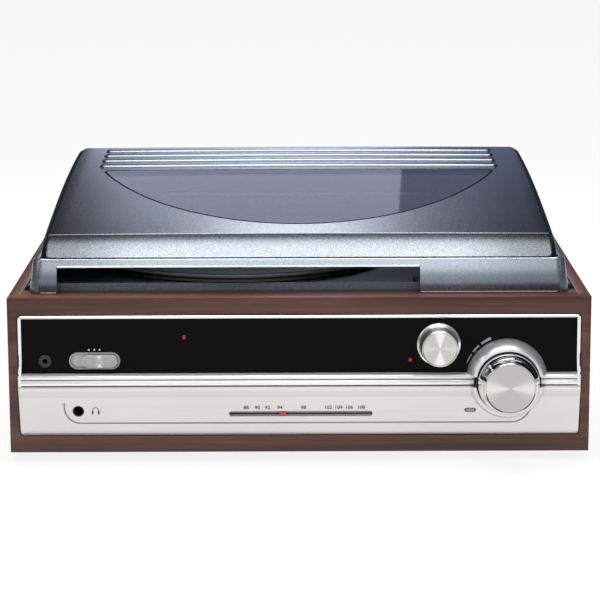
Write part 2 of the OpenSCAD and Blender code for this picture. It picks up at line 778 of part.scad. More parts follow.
module lid_hinge_leaves() {
    side_knuckle = 8;
    gap = 0.4;
    color("gray") for (sx = [-1, 1]) difference() {
        union() {
            slab(sx * hinge_x - bracket_half, sx * hinge_x + bracket_half, cover_back, cover_back + leaf_t,
                3, 22);
            for (k = [-1, 1]) {
                inner = sx * hinge_x + k * (knuckle_w / 2 + gap);
                outer = inner + k * side_knuckle;
                pin(knuckle_r, hinge_d, hinge_rise, min(inner, outer), max(inner, outer));
                slab(min(inner, outer), max(inner, outer), cover_back + 1, hinge_d,
                    hinge_rise - knuckle_r + 0.6, hinge_rise + knuckle_r - 0.6);
            }
        }
        pin(pin_r, hinge_d, hinge_rise, sx * hinge_x - 20, sx * hinge_x + 20);
        slab(sx * hinge_x - knuckle_w / 2 - 0.3, sx * hinge_x + knuckle_w / 2 + 0.3,
            cover_back - 1, cover_back + leaf_t + 1, 2, hinge_rise + knuckle_r + 0.4);
    }
}

module hinge_pins() {
    reach = knuckle_w / 2 + 8.4;
    color("silver") for (sx = [-1, 1]) {
        pin(pin_r, hinge_d, hinge_rise, sx * hinge_x - reach, sx * hinge_x + reach);
        pin(pin_r + 0.8, hinge_d, hinge_rise, sx * hinge_x + reach, sx * hinge_x + reach + 1);
    }
}

module platter() {
    rim_under = deck_rise + 0.6;
    color("black") turned_up(-platter_left, platter_depth, [
        [shaft_r, platter_top], [shaft_r, -9], [10, -9], [10, platter_top - 3],
        [drive_r - 4, platter_top - 3], [drive_r - 4, -8], [drive_r, -8], [drive_r, platter_top - 3],
        [skirt_r - 3, platter_top - 3], [skirt_r - 3, -1], [skirt_r, -1], [skirt_r, rim_under],
        [platter_r - 1.2, rim_under], [platter_r, rim_under + 0.9], [platter_r, platter_top - 0.9],
        [platter_r - 1.2, platter_top]]);
}

module platter_mat() {
    groove = 0.6;
    rings = [for (r = [30:14:mat_r - 8]) r];
    color("dimgray") difference() {
        turned_up(-platter_left, platter_depth, [[spindle_r + 0.4, platter_top], [mat_r, platter_top],
            [mat_r, platter_top + mat_t - 0.5], [mat_r - 1, platter_top + mat_t],
            [spindle_r + 0.4, platter_top + mat_t]]);
        for (r = rings) turned_up(-platter_left, platter_depth, [[r, platter_top + mat_t - groove],
            [r + 1.6, platter_top + mat_t - groove], [r + 1.6, platter_top + mat_t + 1],
            [r, platter_top + mat_t + 1]], 96);
    }
}

module spindle() {
    low = well_floor - 13.8;
    seat = platter_top + mat_t;
    top = seat + 11;
    color("silver") turned_up(-platter_left, platter_depth, [[0, low], [shaft_r, low], [shaft_r, seat],
        [spindle_r, seat], [spindle_r, top - 2], [spindle_r - 1.4, top], [0, top]], 144);
}

module motor_pulley() {
    low = well_floor - deck_t - motor_len + 3;
    color("gold") turned_up(motor_x, motor_d, [[0, low], [1, low],
        [1, belt_low - 2.5], [pulley_r + 1, belt_low - 2.5], [pulley_r + 1, belt_low - 0.3],
        [pulley_r, belt_low - 0.3], [pulley_r, belt_low + belt_h + 0.3],
        [pulley_r + 1, belt_low + belt_h + 0.3], [pulley_r + 1, belt_low + belt_h + 1.5],
        [0, belt_low + belt_h + 1.5]], 64);
}

module arm_yoke() {
    color("silver") difference() {
        union() {
            post(4, arm_x, arm_depth, -11, deck_rise + 7.4);
            post(12.5, arm_x, arm_depth, deck_rise + 7.3, deck_rise + 9.6);
            for (sx = [-1, 1]) slab(arm_x + sx * 10.5 - 1.5, arm_x + sx * 10.5 + 1.5, arm_depth - 4,
                arm_depth + 4, deck_rise + 9, arm_rise + 5);
        }
        pin(1.5 + run_gap, arm_depth, arm_rise, arm_x - 13, arm_x + 13);
    }
}

module arm_tube() {
    color("silver") {
        bar(arm_r, arm_x, arm_rise, arm_depth - arm_len + 30, arm_depth);
        slab(arm_x - 6.5, arm_x + 6.5, arm_depth - 9, arm_depth + 9, arm_rise - 5, arm_rise + 5);
        pin(1.5, arm_depth, arm_rise, arm_x - 11.8, arm_x + 11.8);
        bar(2.5, arm_x, arm_rise, arm_depth + 8, arm_depth + 44);
    }
}

module headshell() {
    front = arm_front;
    back = arm_depth - arm_len + 32;
    color("black") difference() {
        union() {
            slab(arm_x - 8, arm_x + 8, front, back - 6, arm_rise - 1.5, arm_rise + 1.5);
            bar(arm_r + 1.5, arm_x, arm_rise, back - 12, back);
            slab(arm_x + 7, arm_x + 15, front + 3, front + 7, arm_rise - 0.5, arm_rise + 1);
        }
        bar(arm_r + 0.04, arm_x, arm_rise, arm_depth - arm_len + 29.9, back + 1);
    }
}

module cartridge() {
    tip = arm_depth - arm_len;
    color("firebrick") {
        slab(arm_x - 7, arm_x + 7, tip - 4, tip + 14, arm_rise - 8, arm_rise - 1.5);
        slab(arm_x - 2.5, arm_x + 2.5, tip - 3, tip + 8, arm_rise - 9.5, arm_rise - 7.9);
        post(0.3, arm_x, tip, stylus_z, arm_rise - 9, 0.6);
    }
}

module counterweight() {
    color("dimgray") turned_back(arm_x, arm_rise, [[2.54, arm_depth + 18], [12, arm_depth + 18],
        [13, arm_depth + 19], [13, arm_depth + 22], [12.3, arm_depth + 22.6], [12.3, arm_depth + 24],
        [13, arm_depth + 24.6], [13, arm_depth + 37], [12, arm_depth + 38], [2.54, arm_depth + 38]]);
}

module cue_lever() {
    color("silver") {
        pin(2.6, lever_d, deck_rise + 7, lever_x - 2.7, lever_x + 2.7);
        pin(1.5 - run_gap, lever_d, deck_rise + 7, lever_x - 7, lever_x + 7);
        slab(lever_x - 1.5, lever_x + 1.5, lever_d - 26, lever_d - 1, deck_rise + 6, deck_rise + 8);
        slab(lever_x - 3.5, lever_x + 3.5, lever_d - 34, lever_d - 25, deck_rise + 5.5, deck_rise + 8.5);
    }
}

module cue_lift() {
    guide_x = arm_x + cue_reach * sin(cue_turn);
    guide_d = arm_depth - cue_reach * cos(cue_turn);
    color("black") {
        spot(arm_x, arm_depth, lift_top - 2) rotate([0, 0, -90 - cue_bar_span])
            rotate_extrude(angle = cue_bar_span + cue_turn, $fn = 96)
                translate([cue_reach - 2.5, 0]) square([5, 2]);
        post(2, guide_x, guide_d, deck_rise + 2, lift_top - 1);
    }
}

// A small slide lever that stands up through the deck, with its travel along the depth.
module deck_lever(x, d, cap_len) {
    slab(x - 1.5, x + 1.5, d - 3, d + 3, deck_rise - deck_t - 2, deck_rise + 1);
    slab(x - 4, x + 4, d - cap_len / 2, d + cap_len / 2, deck_rise + move_gap, deck_rise + 3.5);
    slab(x - 1, x + 1, d - cap_len / 2 + 1, d + cap_len / 2 - 1, deck_rise + 3.4, deck_rise + 5);
    slab(x - 5, x + 5, d - 5, d + 5, deck_rise - deck_t - 2.5, deck_rise - deck_t - 0.3);
}
module speed_lever() { color("black") deck_lever(levers_x, speed_depth, 12); }
module auto_stop_lever() { color("black") deck_lever(levers_x, stop_depth, 10); }

module fascia_panel() {
    edge = [[-chrome_out, fascia_top], [-chrome_out, window_bottom + 12],
        [-chrome_out - 2.5, window_bottom + 3], [-ledge_out + 1, window_bottom],
        [-ledge_out, window_bottom - 3], [-ledge_out + 0.8, cove_top], [-cove_out, cove_bottom],
        [silver_in, fascia_bottom + chrome_w], [silver_in - 0.5, fascia_bottom],
        [fascia_back, fascia_bottom], [fascia_back, fascia_top]];
    ledge = [[fascia_back, window_bottom], [-ledge_out + 1, window_bottom],
        [-ledge_out, window_bottom - 0.9], [-ledge_out, window_bottom - 2.7],
        [-ledge_out + 1, window_bottom - 3.1], [-ledge_out + 0.2, window_bottom - 3.6],
        [-ledge_out + 0.6, window_bottom - 7.7], [-cove_out, cove_top],
        [-cove_out + 1, cove_top - 1.2], [-cove_out, cove_bottom],
        [silver_in - 0.3, fascia_bottom + 1], [silver_in + 0.5, fascia_bottom], [fascia_back, fascia_bottom]];
    color("silver") difference() {
        intersection() {
            union() {
                spot(-fascia_half, 0, 0) rotate([90, 0, 90]) linear_extrude(2 * fascia_half) polygon(ledge);
                for (sx = [-1, 1]) spot(sx > 0 ? fascia_half - chrome_w : -fascia_half, 0, 0)
                    rotate([90, 0, 90]) linear_extrude(chrome_w) polygon(edge);
                slab(-fascia_half, fascia_half, -chrome_out, fascia_back, window_top, fascia_top);
                slab(-fascia_half + 1, fascia_half - 1, window_face + window_t, fascia_back,
                    window_bottom - 1, window_top + 1);
            }
            round_plate(fascia_half, open_corner - 0.6, -20, 20, fascia_bottom, fascia_top);
        }
        bar(window_bore, volume_x, -volume_drop, -20, 20);
        bar(shaft_r + 2, tuning_x, -tuning_drop, -20, 20);
        for (p = led_places) bar(led_r + 0.3, p[0], p[1], -20, 20);
        bar(3, aux_place[0], aux_place[1], -20, 20);
        bar(phones_r, phones_place[0], phones_place[1], -20, 20);
        slab(switch_x - 14, switch_x + 12, -1, 20, switch_z - 3, switch_z + 3);
        slab(slot_x - slot_len / 2, slot_x + slot_len / 2, -20, 20,
            -slot_drop - slot_h / 2, -slot_drop + slot_h / 2);
        slab(slot_x - slot_len / 2 - 3, slot_x + slot_len / 2 + 3, -0.8, 20,
            -slot_drop - 3.5, -slot_drop + 3.5);
    }
}

module display_window() {
    color("black") difference() {
        slab(-window_half, window_half, window_face, window_face + window_t, window_bottom, window_top);
        bar(window_bore, volume_x, -volume_drop, -20, 20);
        bar(shaft_r + 2, tuning_x, -tuning_drop, -20, 20);
        for (p = led_places) bar(led_r + seat_gap, p[0], p[1], -20, 20);
        bar(3, aux_place[0], aux_place[1], -20, 20);
        stadium(switch_half, switch_r, switch_x, switch_z, -1, 20);
    }
}

module volume_ring() {
    front = -collar_out;
    color("gainsboro") turned_back(volume_x, -volume_drop, [[ring_gap_r, front + 0.8],
        [ring_gap_r + 0.8, front], [ring_gap_r + 2.2, front + 0.6], [bezel_r - 1.8, front + 5],
        [bezel_r - 0.6, front + 9], [bezel_r, -1], [bezel_r, fascia_back + 2],
        [shaft_r + 3, fascia_back + 2], [shaft_r + 3, fascia_back], [ring_gap_r, fascia_back]]);
}

module indicator_leds() {
    color("red") for (p = led_places) {
        bar(led_r, p[0], p[1], window_face + 0.1, led_back);
        bar(led_r - 0.7, p[0], p[1], window_face - 0.5, window_face + 0.2, led_r);
    }
}

module aux_jack() {
    color("dimgray") difference() {
        union() {
            bar(4.75, aux_place[0], aux_place[1], window_face - 1.2, window_face);
            bar(2.9, aux_place[0], aux_place[1], window_face - 0.2, fascia_back + 1);
            slab(aux_place[0] - 5, aux_place[0] + 5, fascia_back, fascia_back + 12,
                aux_place[1] - 5, aux_place[1] + 5);
        }
        bar(jack_r, aux_place[0], aux_place[1], window_face - 2, fascia_back + 11);
    }
}

module headphone_jack() {
    face = -1.5;
    color("black") difference() {
        union() {
            bar(phones_r - 0.2, phones_place[0], phones_place[1], face, fascia_back + 1);
            slab(phones_place[0] - 6, phones_place[0] + 6, fascia_back, fascia_back + 14,
                phones_place[1] - 6, phones_place[1] + 6);
        }
        bar(3.2, phones_place[0], phones_place[1], face - 2, fascia_back + 13);
    }
}

module function_switch() {
    color("gray") difference() {
        union() {
            stadium(switch_half - 0.1, switch_r - 0.15, switch_x, switch_z, window_face + 1.2,
                window_face + window_t);
            slab(switch_x - 13.8, switch_x + 11.8, window_face + window_t - 0.1, fascia_back + 6,
                switch_z - 2.8, switch_z + 2.8);
        }
        slab(slider_x - slider_travel - 2.4, slider_x + 2.4, -5, fascia_back + 5,
            switch_z - 1.4, switch_z + 1.4);
    }
}

module dial_backing() {
    color("lightgray") difference() {
        slab(slot_x - slot_len / 2 - 2.8, slot_x + slot_len / 2 + 2.8, -0.7, 1,
            -slot_drop - 3.3, -slot_drop + 3.3);
        slab(slot_x - slot_len / 2 - 0.5, slot_x + slot_len / 2 + 0.5, -2, 3,
            -slot_drop - 0.6, -slot_drop + 0.6);
    }
}

module dial_chassis() {
    left = left_idler_x - 12;
    right = volume_x + 20;
    mounts = [for (x = [left + 5, right - 6], z = [chassis_high - 4, chassis_low + 3]) [x, z]];
    color("gainsboro") difference() {
        union() {
            slab(left, right, chassis_d, chassis_d + chassis_t, chassis_low, chassis_high);
            for (p = mounts) bar(3, p[0], p[1], fascia_back, chassis_d + 0.1);
            for (x = [left_idler_x, right_idler_x]) bar(1.5, x, idler_z, works_d - 3.5, chassis_d + 0.1);
            for (x = [left_idler_x, right_idler_x]) bar(3, x, idler_z, works_d + 2.6, chassis_d + 0.1);
            bar(shaft_r + 2, tuning_x, -tuning_drop, chassis_d - 1, chassis_d + 4);
        }
        bar(shaft_r + run_gap, tuning_x, -tuning_drop, 0, chassis_d + 5);
        bar(4.6, drum_x, drum_z, chassis_d - 1, chassis_d + chassis_t + 1);
        bar(4.6, volume_x, -volume_drop, chassis_d - 1, chassis_d + chassis_t + 1);
    }
}

// Where a cord leaves one wheel for the next: [direction, first point, second point].
function tangent(a, b) = let (dx = b[0] - a[0], dz = b[1] - a[1], ra = a[2] * a[3], rb = b[2] * b[3],
    way = atan2(dz, dx) + asin((ra - rb) / norm([dx, dz])), side = [sin(way), -cos(way)])
    [way, [a[0], a[1]] + ra * side, [b[0], b[1]] + rb * side];
function turn_between(a, b, sense) = sense > 0 ? (b - a + 720) % 360 : (a - b + 720) % 360;

// The cord's path over the wheels: place across, place in height and direction.
cord_runs = [for (i = [0:len(wheels) - 1]) tangent(wheels[i], wheels[(i + 1) % len(wheels)])];
cord_path = [for (i = [0:len(wheels) - 1])
    let (way_in = cord_runs[i][0], next = (i + 1) % len(wheels), wheel = wheels[next],
        sweep = turn_between(way_in, cord_runs[next][0], wheel[3]) * wheel[3])
    for (k = [0:arc_steps]) let (way = way_in + sweep * k / arc_steps)
        [wheel[0] + wheel[2] * wheel[3] * sin(way), wheel[1] - wheel[2] * wheel[3] * cos(way), way]];

module dial_cord() {
    rings = len(cord_path);
    points = [for (p = cord_path, j = [0:cord_sides - 1]) let (turn = j * 360 / cord_sides)
        [p[0] + cord_r * cos(turn) * sin(p[2]), y_at(works_d) + cord_r * sin(turn),
            z_at(p[1]) - cord_r * cos(turn) * cos(p[2])]];
    faces = [for (i = [0:rings - 1], j = [0:cord_sides - 1])
        let (a = i * cord_sides, b = ((i + 1) % rings) * cord_sides, k = (j + 1) % cord_sides)
        for (f = [[a + j, b + j, b + k], [a + j, b + k, a + k]]) f];
    color("white") polyhedron(points, faces);
}

module tuning_capacitor() {
    back = chassis_d + chassis_t;
    color("lightgray") difference() {
        union() {
            slab(drum_x - 13, drum_x + 13, back, back + 20, drum_z - 13, drum_z + 13);
            bar(4.5, drum_x, drum_z, chassis_d - 0.5, back + 0.1);
        }
        bar(shaft_r + run_gap, drum_x, drum_z, chassis_d - 2, back + 16);
    }
}

module volume_control() {
    back = chassis_d + chassis_t;
    color("gray") difference() {
        union() {
            bar(12, volume_x, -volume_drop, back, back + 11);
            bar(4.5, volume_x, -volume_drop, fascia_back + 2.3, back + 0.1);
        }
        bar(shaft_r + run_gap, volume_x, -volume_drop, 0, back + 8);
    }
}

module main_board() {
    low = -wood_h + base_t;
    top = low + board_rise + 1.6;
    color("seagreen") {
        slab(board_x[0], board_x[1], board_d[0], board_d[1], low + board_rise, top);
        for (x = [board_x[0] + 6, board_x[1] - 6], d = [board_d[0] + 6, board_d[1] - 6])
            post(3, x, d, low, low + board_rise + 0.1);
    }
    color("dimgray") {
        for (i = [0:4]) post(5, board_x[0] + 30 + i * 15, board_d[0] + 30, top - 0.1, top + 16);
        for (i = [0:2]) slab(board_x[0] + 30 + i * 34, board_x[0] + 50 + i * 34, board_d[0] + 52,
            board_d[0] + 60, top - 0.1, top + 4);
        slab(board_x[1] - 60, board_x[1] - 10, board_d[1] - 18, board_d[1] - 14, top - 0.1, top + 30);
        for (i = [0:6]) slab(board_x[1] - 60 + i * 8, board_x[1] - 58 + i * 8, board_d[1] - 14.1,
            board_d[1] - 4, top - 0.1, top + 30);
    }
}

module transformer() {
    low = -wood_h + base_t;
    x = transformer_x;
    d = transformer_d;
    color("dimgray") {
        slab(x - core_half, x + core_half, d - core_d, d + core_d, low, low + transformer_h);
        slab(x - core_foot, x + core_foot, d - core_foot_d, d + core_foot_d, low, low + 2);
    }
    color("goldenrod") slab(x - coil_half, x + coil_half, d - coil_d, d + coil_d, low + coil_in,
        low + transformer_h - coil_in);
}

module tuning_knob() {
    back = window_face - 0.4;
    face = -tuning_out;
    cap_r = tuning_r - 3.2;
    bore = shaft_r + 0.04;
    color("silver") turned_back(tuning_x, -tuning_drop, [[0, face + 0.4], [cap_r - 0.8, face + 0.4],
        [cap_r - 0.5, face], [cap_r, face + 0.6], [cap_r + 0.8, face + 5], [cap_r + 1.6, back - 3],
        [tuning_r - 0.8, back - 2.2], [tuning_r, back - 1.2], [tuning_r, back], [bore, back],
        [bore, face + 3], [0, face + 3]]);
}

module tuning_shaft() {
    color("gray") turned_back(tuning_x, -tuning_drop, [[0, 3.1 - tuning_out], [shaft_r, 3.1 - tuning_out],
        [shaft_r, works_d - 2.6], [wrap_r + 1.5, works_d - 2.6], [wrap_r + 1.5, works_d - 1.6],
        [wrap_r, works_d - 1.6], [wrap_r, works_d + 1.6], [wrap_r + 1.5, works_d + 1.6],
        [wrap_r + 1.5, works_d + 2.6], [shaft_r, works_d + 2.6], [shaft_r, chassis_d + 5],
        [0, chassis_d + 5]]);
}

// A grooved wheel on an axis that runs back, with its bore radius.
function wheel_profile(r, bore, half) = [[bore, works_d - half], [r + 1.4, works_d - half],
    [r + 1.4, works_d - 1], [r, works_d - 0.6], [r, works_d + 0.6], [r + 1.4, works_d + 1],
    [r + 1.4, works_d + half], [bore, works_d + half]];

module tuning_drum() {
    color("white") {
        turned_back(drum_x, drum_z, wheel_profile(drum_r, 0, 2));
        turned_back(drum_x, drum_z, [[0, works_d], [6, works_d], [6, works_d + 3], [shaft_r, works_d + 3],
            [shaft_r, chassis_d + chassis_t + 15], [0, chassis_d + chassis_t + 15]]);
    }
}

module dial_pointer() {
    grip = works_d - 2.6;
    color("red") {
        slab(pointer_x - pointer_w / 2, pointer_x + pointer_w / 2, -2.3, -1,
            -slot_drop - 1.3, -slot_drop + 1.3);
        slab(pointer_x - 0.8, pointer_x + 0.8, -1.1, grip + 0.1, -slot_drop - 0.3, -slot_drop + 0.3);
    }
    color("white") difference() {
        slab(pointer_x - 4, pointer_x + 4, grip, works_d + 2.6, cord_run_z - 2, -slot_drop + 1);
        bar_across = cord_r + 0.15;
        pin(bar_across, works_d, cord_run_z, pointer_x - 5, pointer_x + 5);
    }
}

module dial_pulley(x) {
    turned_back(x, idler_z, wheel_profile(idler_r, 1.5 + run_gap, 2.2));
}
module dial_pulley_left() { color("white") dial_pulley(left_idler_x); }
module dial_pulley_right() { color("white") dial_pulley(right_idler_x); }

module volume_knob() {
    back = -1.5;
    face = -volume_out;
    disc_r = volume_r - 4;
    bore = shaft_r + 0.04;
    color("silver") turned_back(volume_x, -volume_drop, [[0, face + 0.4], [disc_r - 0.8, face + 0.4],
        [disc_r - 0.5, face], [disc_r, face + 0.6], [disc_r + 1.5, face + 5.4], [disc_r + 2, face + 7],
        [volume_r, face + 11.5], [volume_r, back], [bore, back], [bore, face + 4], [0, face + 4]]);
}

module volume_shaft() {
    color("gray") bar(shaft_r, volume_x, -volume_drop, -volume_out + 4.1, chassis_d + chassis_t + 7.5);
}

module function_slider() {
    face = -3;
    color("silver") difference() {
        union() {
            slab(slider_x - slider_w / 2 + 1.3, slider_x + slider_w / 2 - 1.3, face, window_face + 0.9,
                switch_z - slider_h / 2, switch_z + slider_h / 2);
            slab(slider_x - slider_w / 2, slider_x + slider_w / 2, face + 1, window_face + 0.9,
                switch_z - slider_h / 2 + 1.4, switch_z + slider_h / 2 - 1.4);
            slab(slider_x - 2, slider_x + 2, window_face + 0.8, fascia_back + 4.5,
                switch_z - 1, switch_z + 1);
        }
        for (i = [-3:3]) slab(slider_x + i * 2.6 - 0.4, slider_x + i * 2.6 + 0.4, face - 1, face + 0.6,
            switch_z - slider_h / 2 - 1, switch_z + slider_h / 2 + 1);
    }
}

side_panel_left();
side_panel_right();
front_frame();
bottom_panel();
rear_panel();
corner_blocks();
rubber_feet();
case_screws();
hinge_brackets();
cord_gland();
output_sockets();
deck_plate();
spindle_bearing();
motor();
drive_belt();
transit_screw();
arm_base();
arm_rest();
fascia_panel();
display_window();
volume_ring();
indicator_leds();
aux_jack();
headphone_jack();
function_switch();
dial_backing();
dial_chassis();
dial_cord();
tuning_capacitor();
volume_control();
main_board();
transformer();
lid_shell();
lid_window();
lid_bumpers();
lid_hinge_leaves();
hinge_pins();
platter();
platter_mat();
spindle();
motor_pulley();
arm_yoke();
arm_tube();
headshell();
cartridge();
counterweight();
cue_lever();
cue_lift();
arm_clip();
speed_lever();
auto_stop_lever();
tuning_knob();
tuning_shaft();
tuning_drum();
dial_pointer();
dial_pulley_left();
dial_pulley_right();
volume_knob();
volume_shaft();
function_slider();
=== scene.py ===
import math

import bmesh
import bpy
from mathutils import Matrix, Vector


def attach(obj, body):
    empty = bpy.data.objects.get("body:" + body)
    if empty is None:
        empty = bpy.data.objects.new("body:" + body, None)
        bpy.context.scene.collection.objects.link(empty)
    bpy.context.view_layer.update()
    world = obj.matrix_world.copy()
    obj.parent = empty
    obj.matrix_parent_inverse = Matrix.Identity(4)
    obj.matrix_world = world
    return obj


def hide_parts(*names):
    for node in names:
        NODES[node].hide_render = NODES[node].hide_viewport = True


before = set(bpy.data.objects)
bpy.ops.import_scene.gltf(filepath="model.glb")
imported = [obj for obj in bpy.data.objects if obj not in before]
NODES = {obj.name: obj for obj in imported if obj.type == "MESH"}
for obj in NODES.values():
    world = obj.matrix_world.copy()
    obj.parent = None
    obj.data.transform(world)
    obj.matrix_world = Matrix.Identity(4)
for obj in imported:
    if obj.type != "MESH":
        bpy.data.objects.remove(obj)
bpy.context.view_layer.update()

# Places are given in millimetres: x across, d behind the front face, h above the cabinet's top.
FRONT_Y = -0.164
TOP_Z = 0.124
MM = 0.001
scene = bpy.context.scene

# centres on the front, as (x, h)
VOLUME = (153.4, -61.6)
TUNING = (102.9, -35.5)
SWITCH = (-151.2, -47.3)
AUX = (-187.8, -47.5)
PHONES = (-163.7, -84.9)


def at(x, d, h):
    return Vector((x * MM, FRONT_Y + d * MM, TOP_Z + h * MM))


# ---------------------------------------------------------------- camera
LENS = 140.8
PITCH = 11.35
ROLL = -0.2
CAMERA_PLACE = (0.7, -1690.7, 337.4)
cam_data = bpy.data.cameras.new("camera")
cam_data.lens = LENS
cam_data.sensor_width = 36
cam_data.clip_start = 0.05
cam_data.clip_end = 60
camera = bpy.data.objects.new("camera", cam_data)
scene.collection.objects.link(camera)
scene.camera = camera
turn = Matrix.Rotation(math.radians(90 - PITCH), 4, "X") @ Matrix.Rotation(math.radians(ROLL), 4, "Z")
camera.matrix_world = Matrix.Translation(at(*CAMERA_PLACE)) @ turn


# ---------------------------------------------------------------- material tools
WHITE = (1, 1, 1)


class Finish:
    """A material with one Principled shader, and short calls for the nodes that feed it."""

    def __init__(self, name, color, rough=0.5, metal=0.0, **sockets):
        self.mat = bpy.data.materials.new(name)
        self.mat.use_nodes = True
        self.tree = self.mat.node_tree
        self.shader = self.tree.nodes["Principled BSDF"]
        self.put("Base Color", (*color, 1.0))
        self.put("Roughness", rough)
        self.put("Metallic", metal)
        for key, value in sockets.items():
            self.put(key.replace("_", " "), value)
        places = self.tree.nodes.new("ShaderNodeTexCoord")
        self.coords = places.outputs["Object"]
        self.facing = places.outputs["Normal"]

    def put(self, key, value):
        self.shader.inputs[key].default_value = value

    def new(self, kind, **settings):
        made = self.tree.nodes.new(kind)
        for key, value in settings.items():
            setattr(made, key, value)
        return made

    def link(self, a, b):
        self.tree.links.new(a, b)

    def scaled(self, scale):
        made = self.new("ShaderNodeMapping")
        made.inputs["Scale"].default_value = scale
        self.link(self.coords, made.inputs["Vector"])
        return made.outputs["Vector"]

    def noise(self, scale, detail=3.0, rough=0.5, stretch=None, distort=0.0):
        made = self.new("ShaderNodeTexNoise")
        made.inputs["Scale"].default_value = scale
        made.inputs["Detail"].default_value = detail
        made.inputs["Roughness"].default_value = rough
        made.inputs["Distortion"].default_value = distort
        self.link(self.scaled(stretch) if stretch else self.coords, made.inputs["Vector"])
        return made.outputs["Fac"]

    def flakes(self, scale):
        """A grey value of its own for each of many small cells."""
        made = self.new("ShaderNodeTexVoronoi")
        made.inputs["Scale"].default_value = scale
        self.link(self.coords, made.inputs["Vector"])
        grey = self.new("ShaderNodeRGBToBW")
        self.link(made.outputs["Color"], grey.inputs["Color"])
        return grey.outputs["Val"]

    def axis(self, vector, letter):
        made = self.new("ShaderNodeSeparateXYZ")
        self.link(vector, made.inputs["Vector"])
        return made.outputs[letter]

    def calc(self, kind, operation, *values):
        """A Math or VectorMath node, fed by sockets or by fixed values."""
        made = self.new("ShaderNode" + kind, operation=operation)
        for socket, value in zip(made.inputs, values):
            if hasattr(value, "is_linked"):
                self.link(value, socket)
            else:
                socket.default_value = value
        return made.outputs["Value" if kind == "Math" or operation == "LENGTH" else "Vector"]

    def ramp(self, source, stops):
        """Colours by value, from stops of (place, colour)."""
        made = self.new("ShaderNodeValToRGB")
        band = made.color_ramp.elements
        while len(band) < len(stops):
            band.new(0.5)
        for element, (place, color) in zip(band, stops):
            element.position = place
            element.color = (*color, 1.0)
        self.link(source, made.inputs["Fac"])
        return made.outputs["Color"]

    def span(self, source, to=(0, 1), of=(0, 1), **settings):
        """Carries values from one range over to another."""
        made = self.new("ShaderNodeMapRange", **settings)
        for key, value in zip(("From Min", "From Max", "To Min", "To Max"), (*of, *to)):
            made.inputs[key].default_value = value
        self.link(source, made.inputs["Value"])
        return made.outputs["Result"]

    def times(self, a, b, share=1.0):
        """One colour multiplied by another. Sockets 6, 7 and 2 are the node's colour ones."""
        made = self.new("ShaderNodeMix", data_type="RGBA", blend_type="MULTIPLY")
        made.inputs["Factor"].default_value = share
        self.link(a, made.inputs[6])
        self.link(b, made.inputs[7])
        return made.outputs[2]

    def color(self, source):
        self.link(source, self.shader.inputs["Base Color"])

    def rough(self, source, low, high):
        self.link(self.span(source, (low, high)), self.shader.inputs["Roughness"])

    def bump(self, source, height, strength=1.0):
        """Adds a relief of a height in metres over any that is there already."""
        made = self.new("ShaderNodeBump")
        made.inputs["Distance"].default_value = height
        made.inputs["Strength"].default_value = strength
        self.link(source, made.inputs["Height"])
        normal = self.shader.inputs["Normal"]
        if normal.is_linked:
            self.link(normal.links[0].from_socket, made.inputs["Normal"])
        self.link(made.outputs["Normal"], normal)


def plastic(name, color, rough=0.45, grain=1800, height=0.00002, vary=0.1, **sockets):
    """Moulded plastic: a fine grain in the bump, with slightly uneven colour and gloss."""
    f = Finish(name, color, rough, **sockets)
    fine = f.noise(grain, 2)
    broad = f.noise(14, 3)
    low = tuple(c * (1 - vary) for c in color)
    high = tuple(min(c * (1 + vary), 1) for c in color)
    f.color(f.ramp(broad, [(0.3, low), (0.7, high)]))
    f.rough(fine, rough * 0.9, min(rough * 1.12, 1))
    f.bump(fine, height)
    return f.mat


def metal(name, color, rough=0.25, grain=900, stretch=None, height=0.000006, vary=0.06, **sockets):
    """Metal with a fine drawn or cast grain."""
    f = Finish(name, color, rough, 1.0, **sockets)
    fine = f.noise(grain, 3, stretch=stretch)
    broad = f.noise(20, 2)
    low = tuple(c * (1 - vary) for c in color)
    f.color(f.ramp(broad, [(0.3, low), (0.7, color)]))
    f.rough(fine, rough * 0.8, min(rough * 1.25, 1))
    f.bump(fine, height)
    return f.mat


def wood(name, dark, mid, light, grain_axis, coat, rough=0.42, top=WHITE):
    """Veneer: growth bands and pores drawn out along the grain. Faces that look up get a painted sheen,
    multiplied in by top.
    """
    f = Finish(name, mid, rough, Specular_IOR_Level=0.3, Coat_Weight=coat, Coat_Roughness=0.28)

    def drawn(share):
        return tuple(share if letter == grain_axis else 1 for letter in "XYZ")
    bands = f.noise(60, 4, 0.55, drawn(0.05), 0.8)
    streaks = f.noise(420, 3, 0.6, drawn(0.03), 0.3)
    pores = f.noise(1500, 2, 0.5, drawn(0.02))
    broad = f.ramp(bands, [(0.3, dark), (0.5, mid), (0.72, light)])
    fine = f.ramp(streaks, [(0.32, (0.62, 0.6, 0.6)), (0.6, (1.12, 1.1, 1.08))])
    dots = f.ramp(pores, [(0.30, (0.55, 0.52, 0.5)), (0.42, WHITE)])
    grown = f.times(f.times(broad, fine, 0.55), dots, 0.5)
    # painted sheen: faces that look up are multiplied by top
    if top != WHITE:
        grown = f.times(grown, f.ramp(f.axis(f.facing, "Z"), [(0.6, WHITE), (0.9, top)]))
    f.color(grown)
    f.rough(streaks, rough * 0.85, rough * 1.2)
    f.bump(pores, 0.00003, 0.6)
    f.bump(streaks, 0.00004, 0.5)
    return f.mat


def board_finish():
    """A green circuit board with lighter lines between its fields."""
    f = Finish("circuit_board", (0.05, 0.18, 0.08), 0.35)
    tracks = f.new("ShaderNodeTexBrick")
    tracks.inputs["Scale"].default_value = 160
    tracks.inputs["Color1"].default_value = (0.03, 0.14, 0.06, 1)
    tracks.inputs["Color2"].default_value = (0.05, 0.20, 0.09, 1)
    tracks.inputs["Mortar"].default_value = (0.10, 0.30, 0.14, 1)
    f.link(f.coords, tracks.inputs["Vector"])
    f.color(tracks.outputs["Color"])
    f.bump(tracks.outputs["Fac"], 0.00005)
    return f.mat


